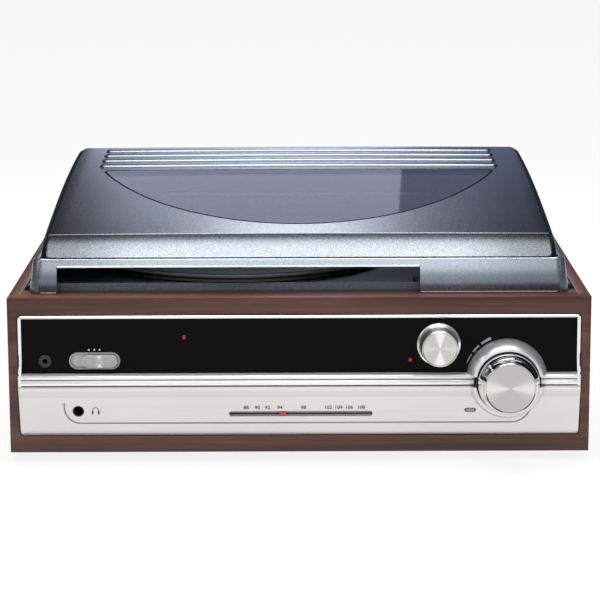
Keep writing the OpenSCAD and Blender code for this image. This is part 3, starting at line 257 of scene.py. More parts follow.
def silver_finish():
    """Satin silver paint over a moulding, with painted shade where the cove turns under and painted light
    towards the foot.
    """
    f = Finish("silver_panel", (0.78, 0.75, 0.735), 0.36, 0.75)
    fine = f.noise(2600, 2)
    height = f.span(f.axis(f.coords, "Z"), of=(TOP_Z - 0.105, TOP_Z - 0.065))
    # painted light and shade by height: a darker band where the cove turns under, lighter towards the foot
    # and at the cove's upper lip
    painted_light_and_shade = f.ramp(height, [
        (0.0, WHITE), (0.3, (0.93, 0.93, 0.93)), (0.77, (0.94, 0.94, 0.94)),
        (0.79, (0.84, 0.84, 0.845)), (0.9, (0.92, 0.92, 0.92)), (0.94, WHITE)])
    paint = f.ramp(f.noise(9, 2), [(0.3, (0.77, 0.74, 0.725)), (0.7, (0.81, 0.78, 0.765))])
    f.color(f.times(paint, painted_light_and_shade))
    f.rough(fine, 0.33, 0.42)
    f.bump(fine, 0.000008)
    return f.mat


def window_finish():
    """The glossy black front of the display."""
    f = Finish("black_window", (0.0032, 0.003, 0.0034), 0.06, Specular_IOR_Level=0.05)
    f.rough(f.noise(30, 4), 0.04, 0.1)
    f.bump(f.noise(12, 1), 0.00002, 0.4)
    return f.mat


def cover_finish(name, side_shade_share, tints, foot=((0.0, WHITE), (1.0, WHITE))):
    """Smoked plastic full of fine metal flakes in three tints, from dull to bright.

    Towards the sides a painted shade leaves only side_shade_share of the colour, and foot multiplies in
    painted light and shade by height over the skirt.
    """
    f = Finish(name, (0.16, 0.17, 0.19), 0.3, 0.95)
    flakes = f.flakes(3000)
    tint = f.ramp(flakes, list(zip((0.25, 0.6, 0.88), tints)))
    # painted shade: dark falls from full colour to side_shade_share towards the sides
    side = f.calc("Math", "ABSOLUTE", f.axis(f.coords, "X"))
    across = f.span(side, (1.0, side_shade_share), (0.1, 0.19), interpolation_type="SMOOTHERSTEP")
    height = f.span(f.axis(f.coords, "Z"), of=(TOP_Z, TOP_Z + 0.026))
    dark = f.ramp(across, [(0.0, (0, 0, 0)), (1.0, WHITE)])
    # painted light and shade by height from foot, times the painted side shade
    f.color(f.times(f.times(tint, f.ramp(height, foot)), dark))
    f.rough(flakes, 0.25, 0.3)
    f.bump(flakes, 0.000005, 0.3)
    return f.mat


def pane_finish():
    """Clear smoked plastic."""
    f = Finish("cover_window", (0.05, 0.05, 0.07), 0.03, IOR=2.4, Alpha=0.45)
    f.rough(f.noise(40, 3), 0.02, 0.05)
    return f.mat


def deck_finish():
    """A blue-grey moulding with fine flakes in it."""
    f = Finish("deck_plastic", (0.085, 0.11, 0.14), 0.4, 0.35, Coat_Weight=0.3, Coat_Roughness=0.2)
    flakes = f.flakes(1600)
    f.color(f.ramp(flakes, [(0.3, (0.10, 0.125, 0.165)), (0.8, (0.17, 0.205, 0.255))]))
    f.bump(flakes, 0.00003, 0.4)
    return f.mat


# tones of the painted fan highlights on the knob discs
BRIGHT, MIDDLE, DEEP = (0.80, 0.785, 0.765), (0.60, 0.585, 0.565), (0.535, 0.52, 0.505)


def spun_finish(name, centre, painted_fan_highlight):
    """Metal turned on a lathe: fine rings in the bump, and a painted fan highlight of tones by angle round
    the middle.
    """
    f = Finish(name, BRIGHT, 0.3, 1.0)
    arm = f.calc("VectorMath", "SUBTRACT", f.coords, at(centre[0], 0, centre[1]))
    flat = f.calc("VectorMath", "MULTIPLY", arm, (1, 0, 1))
    cosine = f.axis(f.calc("VectorMath", "NORMALIZE", flat), "X")
    f.color(f.ramp(f.calc("Math", "MULTIPLY", cosine, cosine), painted_fan_highlight))
    rings = f.new("ShaderNodeTexNoise", noise_dimensions="1D")
    rings.inputs["Scale"].default_value = 2600
    f.link(f.calc("VectorMath", "LENGTH", flat), rings.inputs["W"])
    f.bump(rings.outputs["Fac"], 0.000004, 0.5)
    return f.mat


M = {}
# the front's walnut gets a painted sheen on faces that look up, from top
M["walnut_x"] = wood("walnut_x", (0.044, 0.015, 0.010), (0.082, 0.030, 0.019), (0.128, 0.053, 0.034),
                     "X", 0.3, top=(1.8, 1.75, 2.0))
M["walnut_y"] = wood("walnut_y", (0.060, 0.022, 0.014), (0.106, 0.041, 0.025), (0.160, 0.070, 0.044),
                     "Y", 0.08)
M["board"] = wood("raw_board", (0.34, 0.24, 0.15), (0.44, 0.32, 0.20), (0.52, 0.39, 0.26), "X", 0.0, 0.8)
M["black"] = plastic("black_plastic", (0.016, 0.016, 0.018), 0.5)
M["rubber"] = plastic("rubber", (0.012, 0.012, 0.012), 0.75, 900, 0.00004)
M["grey"] = plastic("grey_plastic", (0.30, 0.30, 0.31), 0.45)
M["dial_grey"] = plastic("dial_grey", (0.26, 0.25, 0.245), 0.5)
M["white"] = plastic("white_plastic", (0.72, 0.72, 0.70), 0.45)
M["red"] = plastic("red_plastic", (0.60, 0.03, 0.03), 0.35)
M["platter"] = plastic("platter_black", (0.012, 0.012, 0.014), 0.35)
M["mat"] = plastic("mat_rubber", (0.15, 0.15, 0.156), 0.32, 1200, 0.00003)
M["steel"] = metal("steel", (0.58, 0.58, 0.60), 0.3)
M["chrome"] = metal("chrome", (0.84, 0.85, 0.87), 0.07, 300, height=0.000001, vary=0.02)
M["arm"] = metal("arm_metal", (0.70, 0.70, 0.72), 0.22)
M["brass"] = metal("brass", (0.72, 0.55, 0.26), 0.25)
M["iron"] = metal("iron_core", (0.16, 0.155, 0.16), 0.55, 400, (0.2, 1, 8), 0.0001)
M["circuit"] = board_finish()
M["silver"] = silver_finish()
M["window"] = window_finish()
M["cover"] = cover_finish(
    "cover_plastic", 0.42, [(0.093, 0.103, 0.119), (0.124, 0.137, 0.154), (0.24, 0.26, 0.285)])
# the skirt's copy, with painted light and shade by height: bright at the foot and the top, darker between
M["cover_skirt"] = cover_finish(
    "cover_skirt", 0.7, [(0.112, 0.123, 0.14), (0.130, 0.143, 0.16), (0.175, 0.19, 0.21)],
    [(0.0, (3.3, 3.7, 4.5)), (0.1, (2.2, 2.3, 2.6)), (0.25, (1.4, 1.45, 1.6)),
     (0.5, (1.9, 2.0, 2.15)), (0.74, (4.2, 4.3, 4.4)), (1.0, (4.9, 5, 5.1))])
# a brighter copy of the cover's flakes for the ribs: painted highlight
M["cover_rib"] = cover_finish(
    "cover_rib", 0.6, [(0.17, 0.195, 0.235), (0.21, 0.24, 0.285), (0.29, 0.32, 0.37)])
# a pale plastic for painted highlights along the cover's edges
M["cover_edge_painted_highlight"] = plastic("cover_edge_painted_highlight", (0.88, 0.89, 0.92), 0.2)
M["pane"] = pane_finish()
M["deck"] = deck_finish()
M["lamp"] = plastic("red_lamp", (0.42, 0.008, 0.015), 0.15, 2500, 0.000005)
M["print_dark"] = plastic("print_dark", (0.05, 0.047, 0.045), 0.5)
M["print_grey"] = plastic("print_grey", (0.30, 0.32, 0.33), 0.5)
M["silver_grey"] = plastic("silver_grey", (0.42, 0.42, 0.42), 0.32)
M["satin"] = metal("satin_chrome", (0.93, 0.93, 0.93), 0.3, 500, (0.1, 1, 1))
M["bright_paint"] = metal("bright_paint", (0.93, 0.93, 0.93), 0.24, 500, (0.1, 1, 1), Metallic=0.5)
M["dome"] = metal("dome_chrome", (0.9, 0.9, 0.9), 0.3, 500, Metallic=0.8)
# black rubber for the window's seal, and the black of the painted shade strip at the cover's seam
M["seal"] = plastic("seal_rubber_and_painted_shade", (0.004, 0.004, 0.006), 0.8, 900, Specular_IOR_Level=0.08)
M["dark_ring"] = metal("dark_ring", (0.10, 0.10, 0.11), 0.25)
# the discs' painted fan highlights: lighter and darker by angle round each knob's centre
M["volume_knob_spun"] = spun_finish("volume_knob_spun", VOLUME, [
    (0.0, DEEP), (0.55, DEEP), (0.86, MIDDLE), (0.93, (0.70, 0.685, 0.665)), (1.0, BRIGHT)])
M["tuning_knob_spun"] = spun_finish("tuning_knob_spun", TUNING, [
    (0.0, (0.93, 0.92, 0.90)), (0.06, (0.84, 0.83, 0.81)), (0.2, MIDDLE), (0.88, MIDDLE),
    (1.0, (0.70, 0.69, 0.67))])

NODE_FINISH = {
    "side_panel_left": "walnut_y", "side_panel_right": "walnut_y", "front_frame": "walnut_x",
    "bottom_panel": "board", "rear_panel": "black", "corner_blocks": "board", "rubber_feet": "rubber",
    "case_screws": "steel", "hinge_brackets": "grey", "cord_gland": "rubber", "output_sockets": "steel",
    "deck_plate": "deck", "spindle_bearing": "brass", "motor": "steel", "drive_belt": "rubber",
    "transit_screw": "black", "arm_base": "black", "arm_rest": "black", "fascia_panel": "silver",
    "display_window": "window", "volume_ring": "chrome", "indicator_leds": "lamp", "aux_jack": "black",
    "headphone_jack": "black", "function_switch": "grey", "dial_backing": "dial_grey",
    "dial_chassis": "steel", "dial_cord": "white", "tuning_capacitor": "arm", "volume_control": "steel",
    "main_board": "circuit", "transformer": "iron", "lid_shell": "cover", "lid_window": "pane",
    "lid_bumpers": "rubber", "lid_hinge_leaves": "grey", "hinge_pins": "steel", "platter": "platter",
    "platter_mat": "mat", "spindle": "chrome", "motor_pulley": "brass", "arm_yoke": "arm",
    "arm_tube": "arm", "headshell": "black", "cartridge": "red", "counterweight": "iron",
    "cue_lever": "arm", "cue_lift": "black", "arm_clip": "black", "speed_lever": "black",
    "auto_stop_lever": "black", "tuning_knob": "chrome", "tuning_shaft": "steel", "tuning_drum": "white",
    "dial_pointer": "red", "dial_pulley_left": "white", "dial_pulley_right": "white",
    "volume_knob": "chrome", "volume_shaft": "steel", "function_slider": "grey",
}
for name, finish in NODE_FINISH.items():
    slots = NODES[name].material_slots
    if not slots:
        NODES[name].data.materials.append(M[finish])
    for s in slots:
        s.material = M[finish]


# ---------------------------------------------------------------- making pieces
def add_piece(name, mesh, finish, body, replaces=()):
    """Links a mesh as a piece: its finish, its body, and the nodes that it stands for."""
    made = bpy.data.objects.new(name, mesh)
    scene.collection.objects.link(made)
    mesh.materials.clear()
    mesh.materials.append(M[finish])
    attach(made, body)
    if replaces:
        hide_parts(*replaces)


def mesh_of(points, faces):
    """A mesh from corner places and faces, with its normals facing out."""
    mesh = bpy.data.meshes.new("piece")
    mesh.from_pydata(points, [], faces)
    bm = bmesh.new()
    bm.from_mesh(mesh)
    bmesh.ops.remove_doubles(bm, verts=bm.verts, dist=2e-6)
    bmesh.ops.dissolve_degenerate(bm, edges=bm.edges, dist=1e-6)
    bmesh.ops.recalc_face_normals(bm, faces=bm.faces)
    bm.to_mesh(mesh)
    bm.free()
    return mesh


def loft(rings, closed=True, caps=True, round_trip=False):
    """Skins a list of rings with the same number of points."""
    n = len(rings[0])
    points = [p for ring in rings for p in ring]
    faces = []
    rows = len(rings) if round_trip else len(rings) - 1
    for i in range(rows):
        a, b = i * n, (i + 1) % len(rings) * n
        for j in range(n if closed else n - 1):
            k = (j + 1) % n
            faces.append((a + j, a + k, b + k, b + j))
    if caps and not round_trip:
        faces.append(tuple(range(n)))
        faces.append(tuple((len(rings) - 1) * n + j for j in range(n)))
    return mesh_of(points, faces)


def prism(outline, low, high, axis="h"):
    """A straight block along one axis, over an outline in the other two, in the order x, d, h."""
    def place(p, q):
        if axis == "h":
            return at(*p, q)
        return at(q, *p) if axis == "x" else at(p[0], q, p[1])
    return loft([[place(p, q) for p in outline] for q in (low, high)])


def lathe(profile, centre, steps=96, closed=True):
    """Turns a profile of (radius, reach in front of the face) round a centre on the front."""
    turns = [2 * math.pi * i / steps for i in range(steps)]
    rings = [[at(centre[0] + r * math.cos(a), -reach, centre[1] + r * math.sin(a)) for a in turns]
             for r, reach in profile]
    return loft(rings, caps=not closed, round_trip=closed)


def tube(path, radius, sides=10, closed=False, normal=(0, 0, 1)):
    """A round bead along a path of places in metres, which runs square to the normal."""
    rings = []
    n = len(path)
    for i, p in enumerate(path):
        ahead = path[(i + 1) % n] if closed or i < n - 1 else p
        behind = path[i - 1] if closed or i > 0 else p
        along = (ahead - behind).normalized()
        side = along.cross(Vector(normal)).normalized()
        up = side.cross(along).normalized()
        ring = []
        for j in range(sides):
            a = 2 * math.pi * j / sides
            ring.append(p + side * radius * MM * math.cos(a) + up * radius * MM * math.sin(a))
        rings.append(ring)
    return loft(rings, caps=not closed, round_trip=closed)


def arc(cx, cy, r, start, end, steps=8):
    """Points of an arc in a plane, from one angle to another in degrees."""
    turns = [math.radians(start + (end - start) * i / steps) for i in range(steps + 1)]
    return [(cx + r * math.cos(a), cy + r * math.sin(a)) for a in turns]


def box(x0, x1, y0, y1):
    """The outline of a rectangle."""
    return [(x0, y0), (x1, y0), (x1, y1), (x0, y1)]


def round_box(x0, x1, y0, y1, r, steps=8):
    """The outline of a rectangle with round corners."""
    return (arc(x1 - r, y1 - r, r, 0, 90, steps) + arc(x0 + r, y1 - r, r, 90, 180, steps)
            + arc(x0 + r, y0 + r, r, 180, 270, steps) + arc(x1 - r, y0 + r, r, 270, 360, steps))


def pill(centre, half_wide, half_high, r, steps=8):
    """The same outline, from its centre and half sizes."""
    x, y = centre
    return round_box(x - half_wide, x + half_wide, y - half_high, y + half_high, r, steps)


def joined(*meshes):
    """Several meshes as one, not fused."""
    bm = bmesh.new()
    for m in meshes:
        bm.from_mesh(m)
    out = bpy.data.meshes.new("piece")
    bm.to_mesh(out)
    bm.free()
    return out


def settled(obj):
    """The mesh that an object shows, with its modifiers applied."""
    bpy.context.view_layer.update()
    view = bpy.context.evaluated_depsgraph_get()
    return bpy.data.meshes.new_from_object(obj.evaluated_get(view))


def shaped(mesh, *steps):
    """Runs steps over a mesh: ("cut", "keep" or "add", mesh), ("bevel", width, segments, angle)
    or ("shell", thickness)."""
    for step in steps:
        work = bpy.data.objects.new("work", mesh)
        scene.collection.objects.link(work)
        other = None
        if step[0] in ("cut", "keep", "add"):
            other = bpy.data.objects.new("tool", step[1])
            scene.collection.objects.link(other)
            mod = work.modifiers.new("boolean", "BOOLEAN")
            mod.operation = {"cut": "DIFFERENCE", "keep": "INTERSECT", "add": "UNION"}[step[0]]
            mod.solver = "EXACT"
            mod.object = other
        elif step[0] == "bevel":
            mod = work.modifiers.new("bevel", "BEVEL")
            mod.width = step[1] * MM
            mod.segments = step[2]
            mod.limit_method = "ANGLE"
            mod.angle_limit = math.radians(step[3])
            mod.use_clamp_overlap = True
            mod.harden_normals = False
            mod.miter_outer = "MITER_ARC"
        elif step[0] == "shell":
            mod = work.modifiers.new("shell", "SOLIDIFY")
            mod.thickness = step[1] * MM
            mod.offset = -1
            mod.use_even_offset = True
        mesh = settled(work)
        bpy.data.objects.remove(work)
        if other:
            bpy.data.objects.remove(other)
    return mesh


def smooth(mesh, degrees=35):
    """Shades smoothly, with sharp edges kept where faces meet at more than this angle."""
    mesh.polygons.foreach_set("use_smooth", [True] * len(mesh.polygons))
    bm = bmesh.new()
    bm.from_mesh(mesh)
    limit = math.radians(degrees)
    for e in bm.edges:
        e.smooth = len(e.link_faces) == 2 and e.calc_face_angle(0) < limit
    bm.to_mesh(mesh)
    bm.free()
    return mesh


# ---------------------------------------------------------------- dust cover
SKIRT_HALF, SKIRT_FRONT, SKIRT_REAR, SKIRT_R = 200.7, 15.4, 346, 9
# the skirt's section, all the way round: (in from the side, from the front, from the rear, height)
SKIRT_SECTION = [
    (0.4, 0.3, 0.3, 0.3), (0, 0, 0, 0.8), (1.6, 0.6, 0, 12.5), (3.2, 1.2, 0, 24.2), (3.6, 1.35, 0.1, 25.1),
    (4.3, 1.6, 0.4, 25.7), (5.2, 1.9, 0.9, 26), (8.2, 4.2, 1.2, 26), (8.3, 4.3, 1.3, 23.5),
    (12, 7, 4, 23.5), (12, 7, 4, 22.5), (5.9, 3.9, 2.5, 22.5), (2.9, 2.9, 2.5, 0.3)]
TOP_HALF, TOP_FRONT, TOP_REAR, TOP_R = 191.5, 17.5, 346, 8
WALL = 2.5
SHOULDER = 5.5
REAR_ROUND = 2.5
FOOT, FRONT_FOOT = 24.6, 26.7
# the front bevel bows out a little, and ends in a crease over its last share
BEVEL_LOW, BEVEL_END, BEVEL_BOW = 27.0, 42.0, 0.48
CREASE, CREASE_SHARE = 0.25, 0.02
# the top from the bevel to the rear: (depth, height of the side edge, rise of the middle above it)
EDGE = [(42, 40.2, 0.8), (80, 45.2, 0.8), (123, 50.2, 0.8), (170, 55.2, 0.8), (220, 59.4, 0.9),
        (262, 62, 1), (303, 63.8, 0.9), (346, 64.9, 0.7)]
# the window is the front part of an oval, cut straight at its rear
PANE_HALF, PANE_LEN, PANE_CENTRE, PANE_CUT, PANE_CORNER = 177, 288, 353, 235, 5.0
PANE_STEPS = 200
RIB_DEPTHS = (251, 274, 297.5, 321)
RIB_HALF, RIB_WIDTH, RIB_RISE, RIB_SUNK, RIB_END = 166.0, 9.0, 2.12, 0.35, 4
# the opening under the skirt's front edge
MOUTH_LEFT, MOUTH_RIGHT, MOUTH_TOP = -179.3, 89.6, 20.3
OVER_TOP = (30, 80)
SEAM_LOW, SEAM_HIGH = 25.9, 26.9


def along_top(d, column):
    """A smooth curve through one column of the top's table."""
    i = min(max(k for k in range(len(EDGE)) if EDGE[k][0] <= d), len(EDGE) - 2)
    (d0, v0), (d1, v1) = [(EDGE[k][0], EDGE[k][column]) for k in (i, i + 1)]

    def slope(k):
        a, b = EDGE[max(k - 1, 0)], EDGE[min(k + 1, len(EDGE) - 1)]
        return (b[column] - a[column]) / (b[0] - a[0])
    w = d1 - d0
    t = (d - d0) / w
    return ((2 * t ** 3 - 3 * t ** 2 + 1) * v0 + (t ** 3 - 2 * t ** 2 + t) * w * slope(i)
            + (-2 * t ** 3 + 3 * t ** 2) * v1 + (t ** 3 - t ** 2) * w * slope(i + 1))


def edge_and_crown(d):
    """Height of the cover's side edge at a depth, and how much the middle stands above it."""
    if d >= BEVEL_END:
        return along_top(d, 1), along_top(d, 2)
    t = (d - TOP_FRONT) / (BEVEL_END - TOP_FRONT)
    rise = EDGE[0][1] - CREASE - BEVEL_LOW
    bevel = BEVEL_LOW + rise * ((1 + BEVEL_BOW) * t - BEVEL_BOW * t * t)
    return bevel + CREASE * max(1 - (1 - t) / CREASE_SHARE, 0), EDGE[0][2] * t


def skin(x, d, drop=0.0):
    """Height of the cover's outside at a place."""
    edge, crown = edge_and_crown(d)
    return edge - drop + crown * (1 - (x / TOP_HALF) ** 2)


def plan_half(d):
    """Half of the cover's width at a depth, with its corners rounded in plan."""
    near = min(d - TOP_FRONT, TOP_REAR - d)
    if near >= TOP_R:
        return TOP_HALF
    return TOP_HALF - TOP_R + math.sqrt(max(TOP_R ** 2 - (TOP_R - near) ** 2, 0))


def cover_ring(d, base=FOOT, drop=0.0):
    """One section across the cover, from its left foot over the top to its right foot."""
    half = plan_half(d)
    r = min(SHOULDER, (edge_and_crown(d)[0] - drop - base) * 0.8)
    flat = half - r
    top_edge = skin(flat, d, drop)
    left = [(-half, base), (-half, base + (top_edge - r - base) * 0.5)]
    left += [(-x, h) for x, h in arc(flat, top_edge - r, r, 0, 90)]
    across = [(flat * i / 20, skin(flat * i / 20, d, drop)) for i in range(-19, 20)]
    right = [(-x, h) for x, h in reversed(left)]
    return [at(x, d, h) for x, h in left + across + right]


def cover_mesh():
    """The cover's outside, open below, with its sections closer at the front edge and the crease."""
    stations = [TOP_FRONT + v for v in (0, 0.15, 0.5, 1.1, 2, 3.2, 4.8, 6.4, *range(8, 25, 2))]
    stations += [BEVEL_END + v for v in (0, 0.5, 1.2, 3)]
    stations += range(50, 338, 6)
    rings = [cover_ring(d, max(FOOT, FRONT_FOOT - (d - TOP_FRONT) * 0.5)) for d in stations]
    for i in range(9):
        a = math.radians(90 * i / 8)
        rings.append(cover_ring(TOP_REAR - REAR_ROUND * (1 - math.sin(a)),
                                drop=REAR_ROUND * (1 - math.cos(a))))
    return loft(rings, closed=False)


def pane_outline(grow):
    """The window's outline with round rear corners, larger or smaller by an even margin."""
    rear = PANE_CUT + grow
    r = PANE_CORNER + grow
    limit = math.asin((PANE_CENTRE - PANE_CUT) / PANE_LEN)
    oval = []
    for i in range(1, PANE_STEPS):
        a = math.pi + limit + (math.pi - 2 * limit) * i / PANE_STEPS
        nx, nd = math.cos(a) / PANE_HALF, math.sin(a) / PANE_LEN
        n = math.hypot(nx, nd)
        d = PANE_CENTRE + PANE_LEN * math.sin(a) + grow * nd / n
        if d < rear - r - 1:
            oval.append((PANE_HALF * math.cos(a) + grow * nx / n, d))
    right = arc(max(x for x, d in oval) - r, rear - r, r, 0, 90, 6)
    return oval + right + [(-x, d) for x, d in reversed(right)]


def skirt_mesh():
    rings = []
    for side, front, rear, h in SKIRT_SECTION:
        half = SKIRT_HALF - side
        corner = max(SKIRT_R - side * 0.4, 3)
        outline = round_box(-half, half, SKIRT_FRONT + front, SKIRT_REAR - rear, corner, 7)
        rings.append([at(x, d, h) for x, d in outline])
    return loft(rings, round_trip=True)


def rib_mesh(depth):
    """A low round rib across the cover, with its ends rounded in plan."""
    rings = []
    for i in range(-30, 31):
        x = RIB_HALF * math.sin(i / 30 * math.pi / 2)
        short = math.sqrt(max(1 - (max(abs(x) - RIB_HALF + RIB_END, 0) / RIB_END) ** 2, 0))
        ring = []
        for j in range(13):
            a = math.pi * j / 12
            d = depth - RIB_WIDTH / 2 * math.cos(a) * max(short, 0.02)
            rise = (RIB_RISE + RIB_SUNK) * math.sin(a) * max(short, 0.02)
            ring.append(at(x, d, skin(x, d) - RIB_SUNK + rise))
        for side in (1, -1):
            ring.append(at(x, depth + side * RIB_WIDTH / 4 * short, skin(x, depth) - 1.2))
        rings.append(ring)
    return loft(rings)


cover_shell = shaped(cover_mesh(), ("shell", WALL))
pane = shaped(cover_shell.copy(), ("keep", prism(pane_outline(-1.2), *OVER_TOP)), ("bevel", 0.4, 1, 50))
cover_body = shaped(cover_shell, ("cut", prism(pane_outline(0.7), *OVER_TOP)), ("bevel", 0.3, 1, 60))
mouth = prism(box(MOUTH_LEFT, MOUTH_RIGHT, -1, MOUTH_TOP), 12, 22, "d")
skirt = shaped(skirt_mesh(), ("cut", mouth), ("bevel", 0.7, 3, 40))
add_piece("cover_top", smooth(cover_body, 20), "cover", "lid", ["lid_shell"])
add_piece("cover_skirt", smooth(skirt, 38), "cover_skirt", "lid")
add_piece("cover_pane", smooth(pane, 20), "pane", "lid", ["lid_window"])
for i, depth in enumerate(RIB_DEPTHS):
    add_piece("cover_rib_%d" % (i + 1), smooth(rib_mesh(depth), 50), "cover_rib", "lid")
bead = [at(x, d, skin(x, d) - 1.6) for x, d in pane_outline(-0.25)]
add_piece("cover_pane_seal", smooth(tube(bead, 1.9, closed=True), 60), "seal", "lid")

# painted shade: a black strip between the skirt and the top, a little proud of the bevel's foot, stands for
# the shadow in the seam
seam = prism(round_box(-TOP_HALF - 0.2, TOP_HALF + 0.2, TOP_FRONT - 0.25, TOP_REAR - 1, 8.3),
             SEAM_LOW, SEAM_HIGH)
inside = prism(round_box(-TOP_HALF + 3, TOP_HALF - 3, TOP_FRONT + 3, TOP_REAR - 3, 6), 20, 30)
add_piece("cover_seam_painted_shade", smooth(shaped(seam, ("cut", inside)), 40), "seal", "lid")

# painted highlights: pale beads over the mouth, and along the skirt's foot at both sides of it
lip_highlight_path = [at(x, SKIRT_FRONT + 0.9, MOUTH_TOP) for x in (MOUTH_LEFT + 0.4, -120, -60, 0, 60, MOUTH_RIGHT - 0.4)]
add_piece("cover_lip_painted_highlight", smooth(tube(lip_highlight_path, 0.75), 60), "cover_edge_painted_highlight", "lid")
# painted highlight along the skirt's foot, in silver_grey
foot_highlight_beads = [tube([at(x0 + (x1 - x0) * i / 4, SKIRT_FRONT + 0.3, 0.8) for i in range(5)], 0.5)
             for x0, x1 in ((-TOP_HALF, MOUTH_LEFT - 0.9), (MOUTH_RIGHT + 0.9, TOP_HALF))]
add_piece("cover_foot_painted_highlight", smooth(joined(*foot_highlight_beads), 60), "silver_grey", "lid")


# ---------------------------------------------------------------- front panel
PANEL_HALF, PANEL_TOP, PANEL_LOW, PANEL_BACK = 207.2, -13.3, -104.7, 4
WINDOW_TOP, WINDOW_LOW = -15.6, -57.0
LEDGE_LOW, SILVER_TOP = -60.1, -65.4
SIDE_STRIP = 2.3
BAR_D, BAR_H, BAR_R = -6.9, -62.65, 2.05
SLOT_X, SLOT_H, SLOT_HALF = 1.0, -87.6, 53.1
# the silver face starts at this depth and height, and leans back towards its foot
FACE_D, FACE_H, FACE_LEAN = -5.9, -73.0, 7.6 / 30.7
FACE_NORMAL = (0, -1, -0.25)
THROUGH = (-20, 20)


def cutter(outline):
    """A block from far in front of the panel to far behind it."""
    return prism(outline, *THROUGH, "d")


def disc_of(centre, r, steps=96):
    return cutter(arc(*centre, r, 0, 360 * (steps - 1) / steps, steps - 1))


def across_panel(section, short=0.0):
    return prism(section, -PANEL_HALF + short, PANEL_HALF - short, "x")


def silver_face(h):
    """Depth of the silver face at a height."""
    return FACE_D + (FACE_H - h) * FACE_LEAN


def on_face(outline, lift):
    """Places on the silver face, or this far in front of it."""
    return [at(x, silver_face(h) - lift, h) for x, h in outline]


panel_edge = cutter(round_box(-PANEL_HALF, PANEL_HALF, PANEL_LOW, PANEL_TOP, 2.4))

top_strip = across_panel([
    (PANEL_BACK, WINDOW_TOP), (-0.7, WINDOW_TOP), (-1.25, -15.3), (-1.5, -14.6), (-1.3, -13.75),
    (-0.8, -13.35), (PANEL_BACK, PANEL_TOP)])
flare = [(PANEL_BACK, PANEL_TOP), (-1.3, PANEL_TOP), (-1.5, -40), (-1.9, -45), (-2.8, -49), (-4.2, -52.5),
         (-6.2, -55.4), (-7.2, -57.5), (-7.4, -65.3), (PANEL_BACK, -65.3)]
strips = [prism(flare, x0, x0 + SIDE_STRIP, "x") for x0 in (-PANEL_HALF, PANEL_HALF - SIDE_STRIP)]
chrome_frame = shaped(top_strip, ("add", strips[0]), ("add", strips[1]), ("keep", panel_edge),
                      ("bevel", 0.5, 3, 30))
add_piece("chrome_frame", smooth(chrome_frame, 40), "chrome", "cabinet", ["fascia_panel"])

nose = [(PANEL_BACK, WINDOW_LOW), (-6.6, WINDOW_LOW), *arc(-6.9, -58.55, 1.55, 100, 230, 10),
        (-7.2, LEDGE_LOW), (PANEL_BACK, LEDGE_LOW)]
ledge = shaped(across_panel(nose), ("keep", panel_edge), ("cut", disc_of(VOLUME, 24.5)),
               ("bevel", 0.3, 2, 50))
add_piece("chrome_ledge", smooth(ledge, 40), "bright_paint", "cabinet")
recess = shaped(across_panel(box(PANEL_BACK, -6.6, LEDGE_LOW, SILVER_TOP), 0.4),
                ("cut", disc_of(VOLUME, 24.4)), ("bevel", 0.2, 1, 50))
add_piece("ledge_recess", smooth(recess, 40), "black", "cabinet")
bar_form = [(BAR_D + (d - BAR_D) * 0.85, h) for d, h in arc(BAR_D, BAR_H, BAR_R, 90, 270, 12)]
bar_form = [(-5, BAR_H + BAR_R), *bar_form, (-5, BAR_H - BAR_R)]
bars = [shaped(prism(bar_form, x0, x1, "x"), ("cut", disc_of(VOLUME, 24.5)), ("bevel", 0.35, 2, 45))
        for x0, x1 in ((-PANEL_HALF + 2, 140), (170, PANEL_HALF - 2))]
add_piece("chrome_bars", smooth(joined(*bars), 40), "bright_paint", "cabinet")

foot_h = -104
foot_d = silver_face(foot_h)
silver = across_panel([
    (PANEL_BACK, SILVER_TOP), (-7.0, SILVER_TOP), (-7.7, -65.6), (-8.05, -66.2), (-8.1, -67.2),
    (-7.9, -68.3), (-7.4, -69.4), (-6.8, -70.5), (-6.3, -71.7), (FACE_D, FACE_H), (foot_d, foot_h),
    (foot_d + 0.3, -104.5), (foot_d + 0.8, PANEL_LOW), (4.5, PANEL_LOW)])
slot = round_box(SLOT_X - SLOT_HALF, SLOT_X + SLOT_HALF, SLOT_H - 1.85, SLOT_H + 2.3, 1.7, 6)
groove = [(-173.9, -78), *arc(-161.9, -82.7, 12, 180, 270, 10), (150, -94.7),
          *arc(156.5, -79.7, 15, 270, 345, 10)[1:], (173.5, -76)]
silver = shaped(silver, ("keep", panel_edge),
                ("cut", disc_of(VOLUME, 24.6)), ("cut", disc_of(PHONES, 4.3, 48)), ("cut", cutter(slot)),
                ("bevel", 0.3, 3, 40), ("cut", tube(on_face(groove, -0.05), 0.62, 8, normal=FACE_NORMAL)))
add_piece("silver_face", smooth(silver, 40), "silver", "cabinet")
# painted shade: a grey bead sunk in the groove darkens it
groove_shade_bead = tube(on_face(groove, -0.3), 0.42, 8, normal=FACE_NORMAL)
add_piece("groove_painted_shade", groove_shade_bead, "grey", "cabinet")

# the bezel round the volume knob: a chrome dome on the window, and a silver collar on the silver face
dome = [(23.3, -1), (23.3, 14.8), (23.6, 15.6), (24.4, 15.95), (25.5, 15.7), (26.5, 14.7), (27.3, 13.1),
        (28.0, 11), (28.6, 8.7), (29.1, 6.4), (29.5, 3.9), (29.75, 1.8), (29.85, -1)]
upper = shaped(lathe(dome, VOLUME, 128), ("keep", cutter(box(100, 200, -56.9, -20))))
add_piece("volume_dome", smooth(upper, 40), "dome", "cabinet", ["volume_ring"])
collar = [(23.3, -1), (23.3, 12.6), (23.6, 13.4), (24.4, 13.7), (25.7, 13.4), (26.6, 12.4), (27.4, 10.6),
          (28.0, 8.4), (28.4, 6), (28.7, 3), (28.8, -1)]
lower = shaped(lathe(collar, VOLUME, 128), ("keep", cutter(box(100, 200, -65.5, -100))))
add_piece("volume_collar", smooth(lower, 40), "silver", "cabinet")
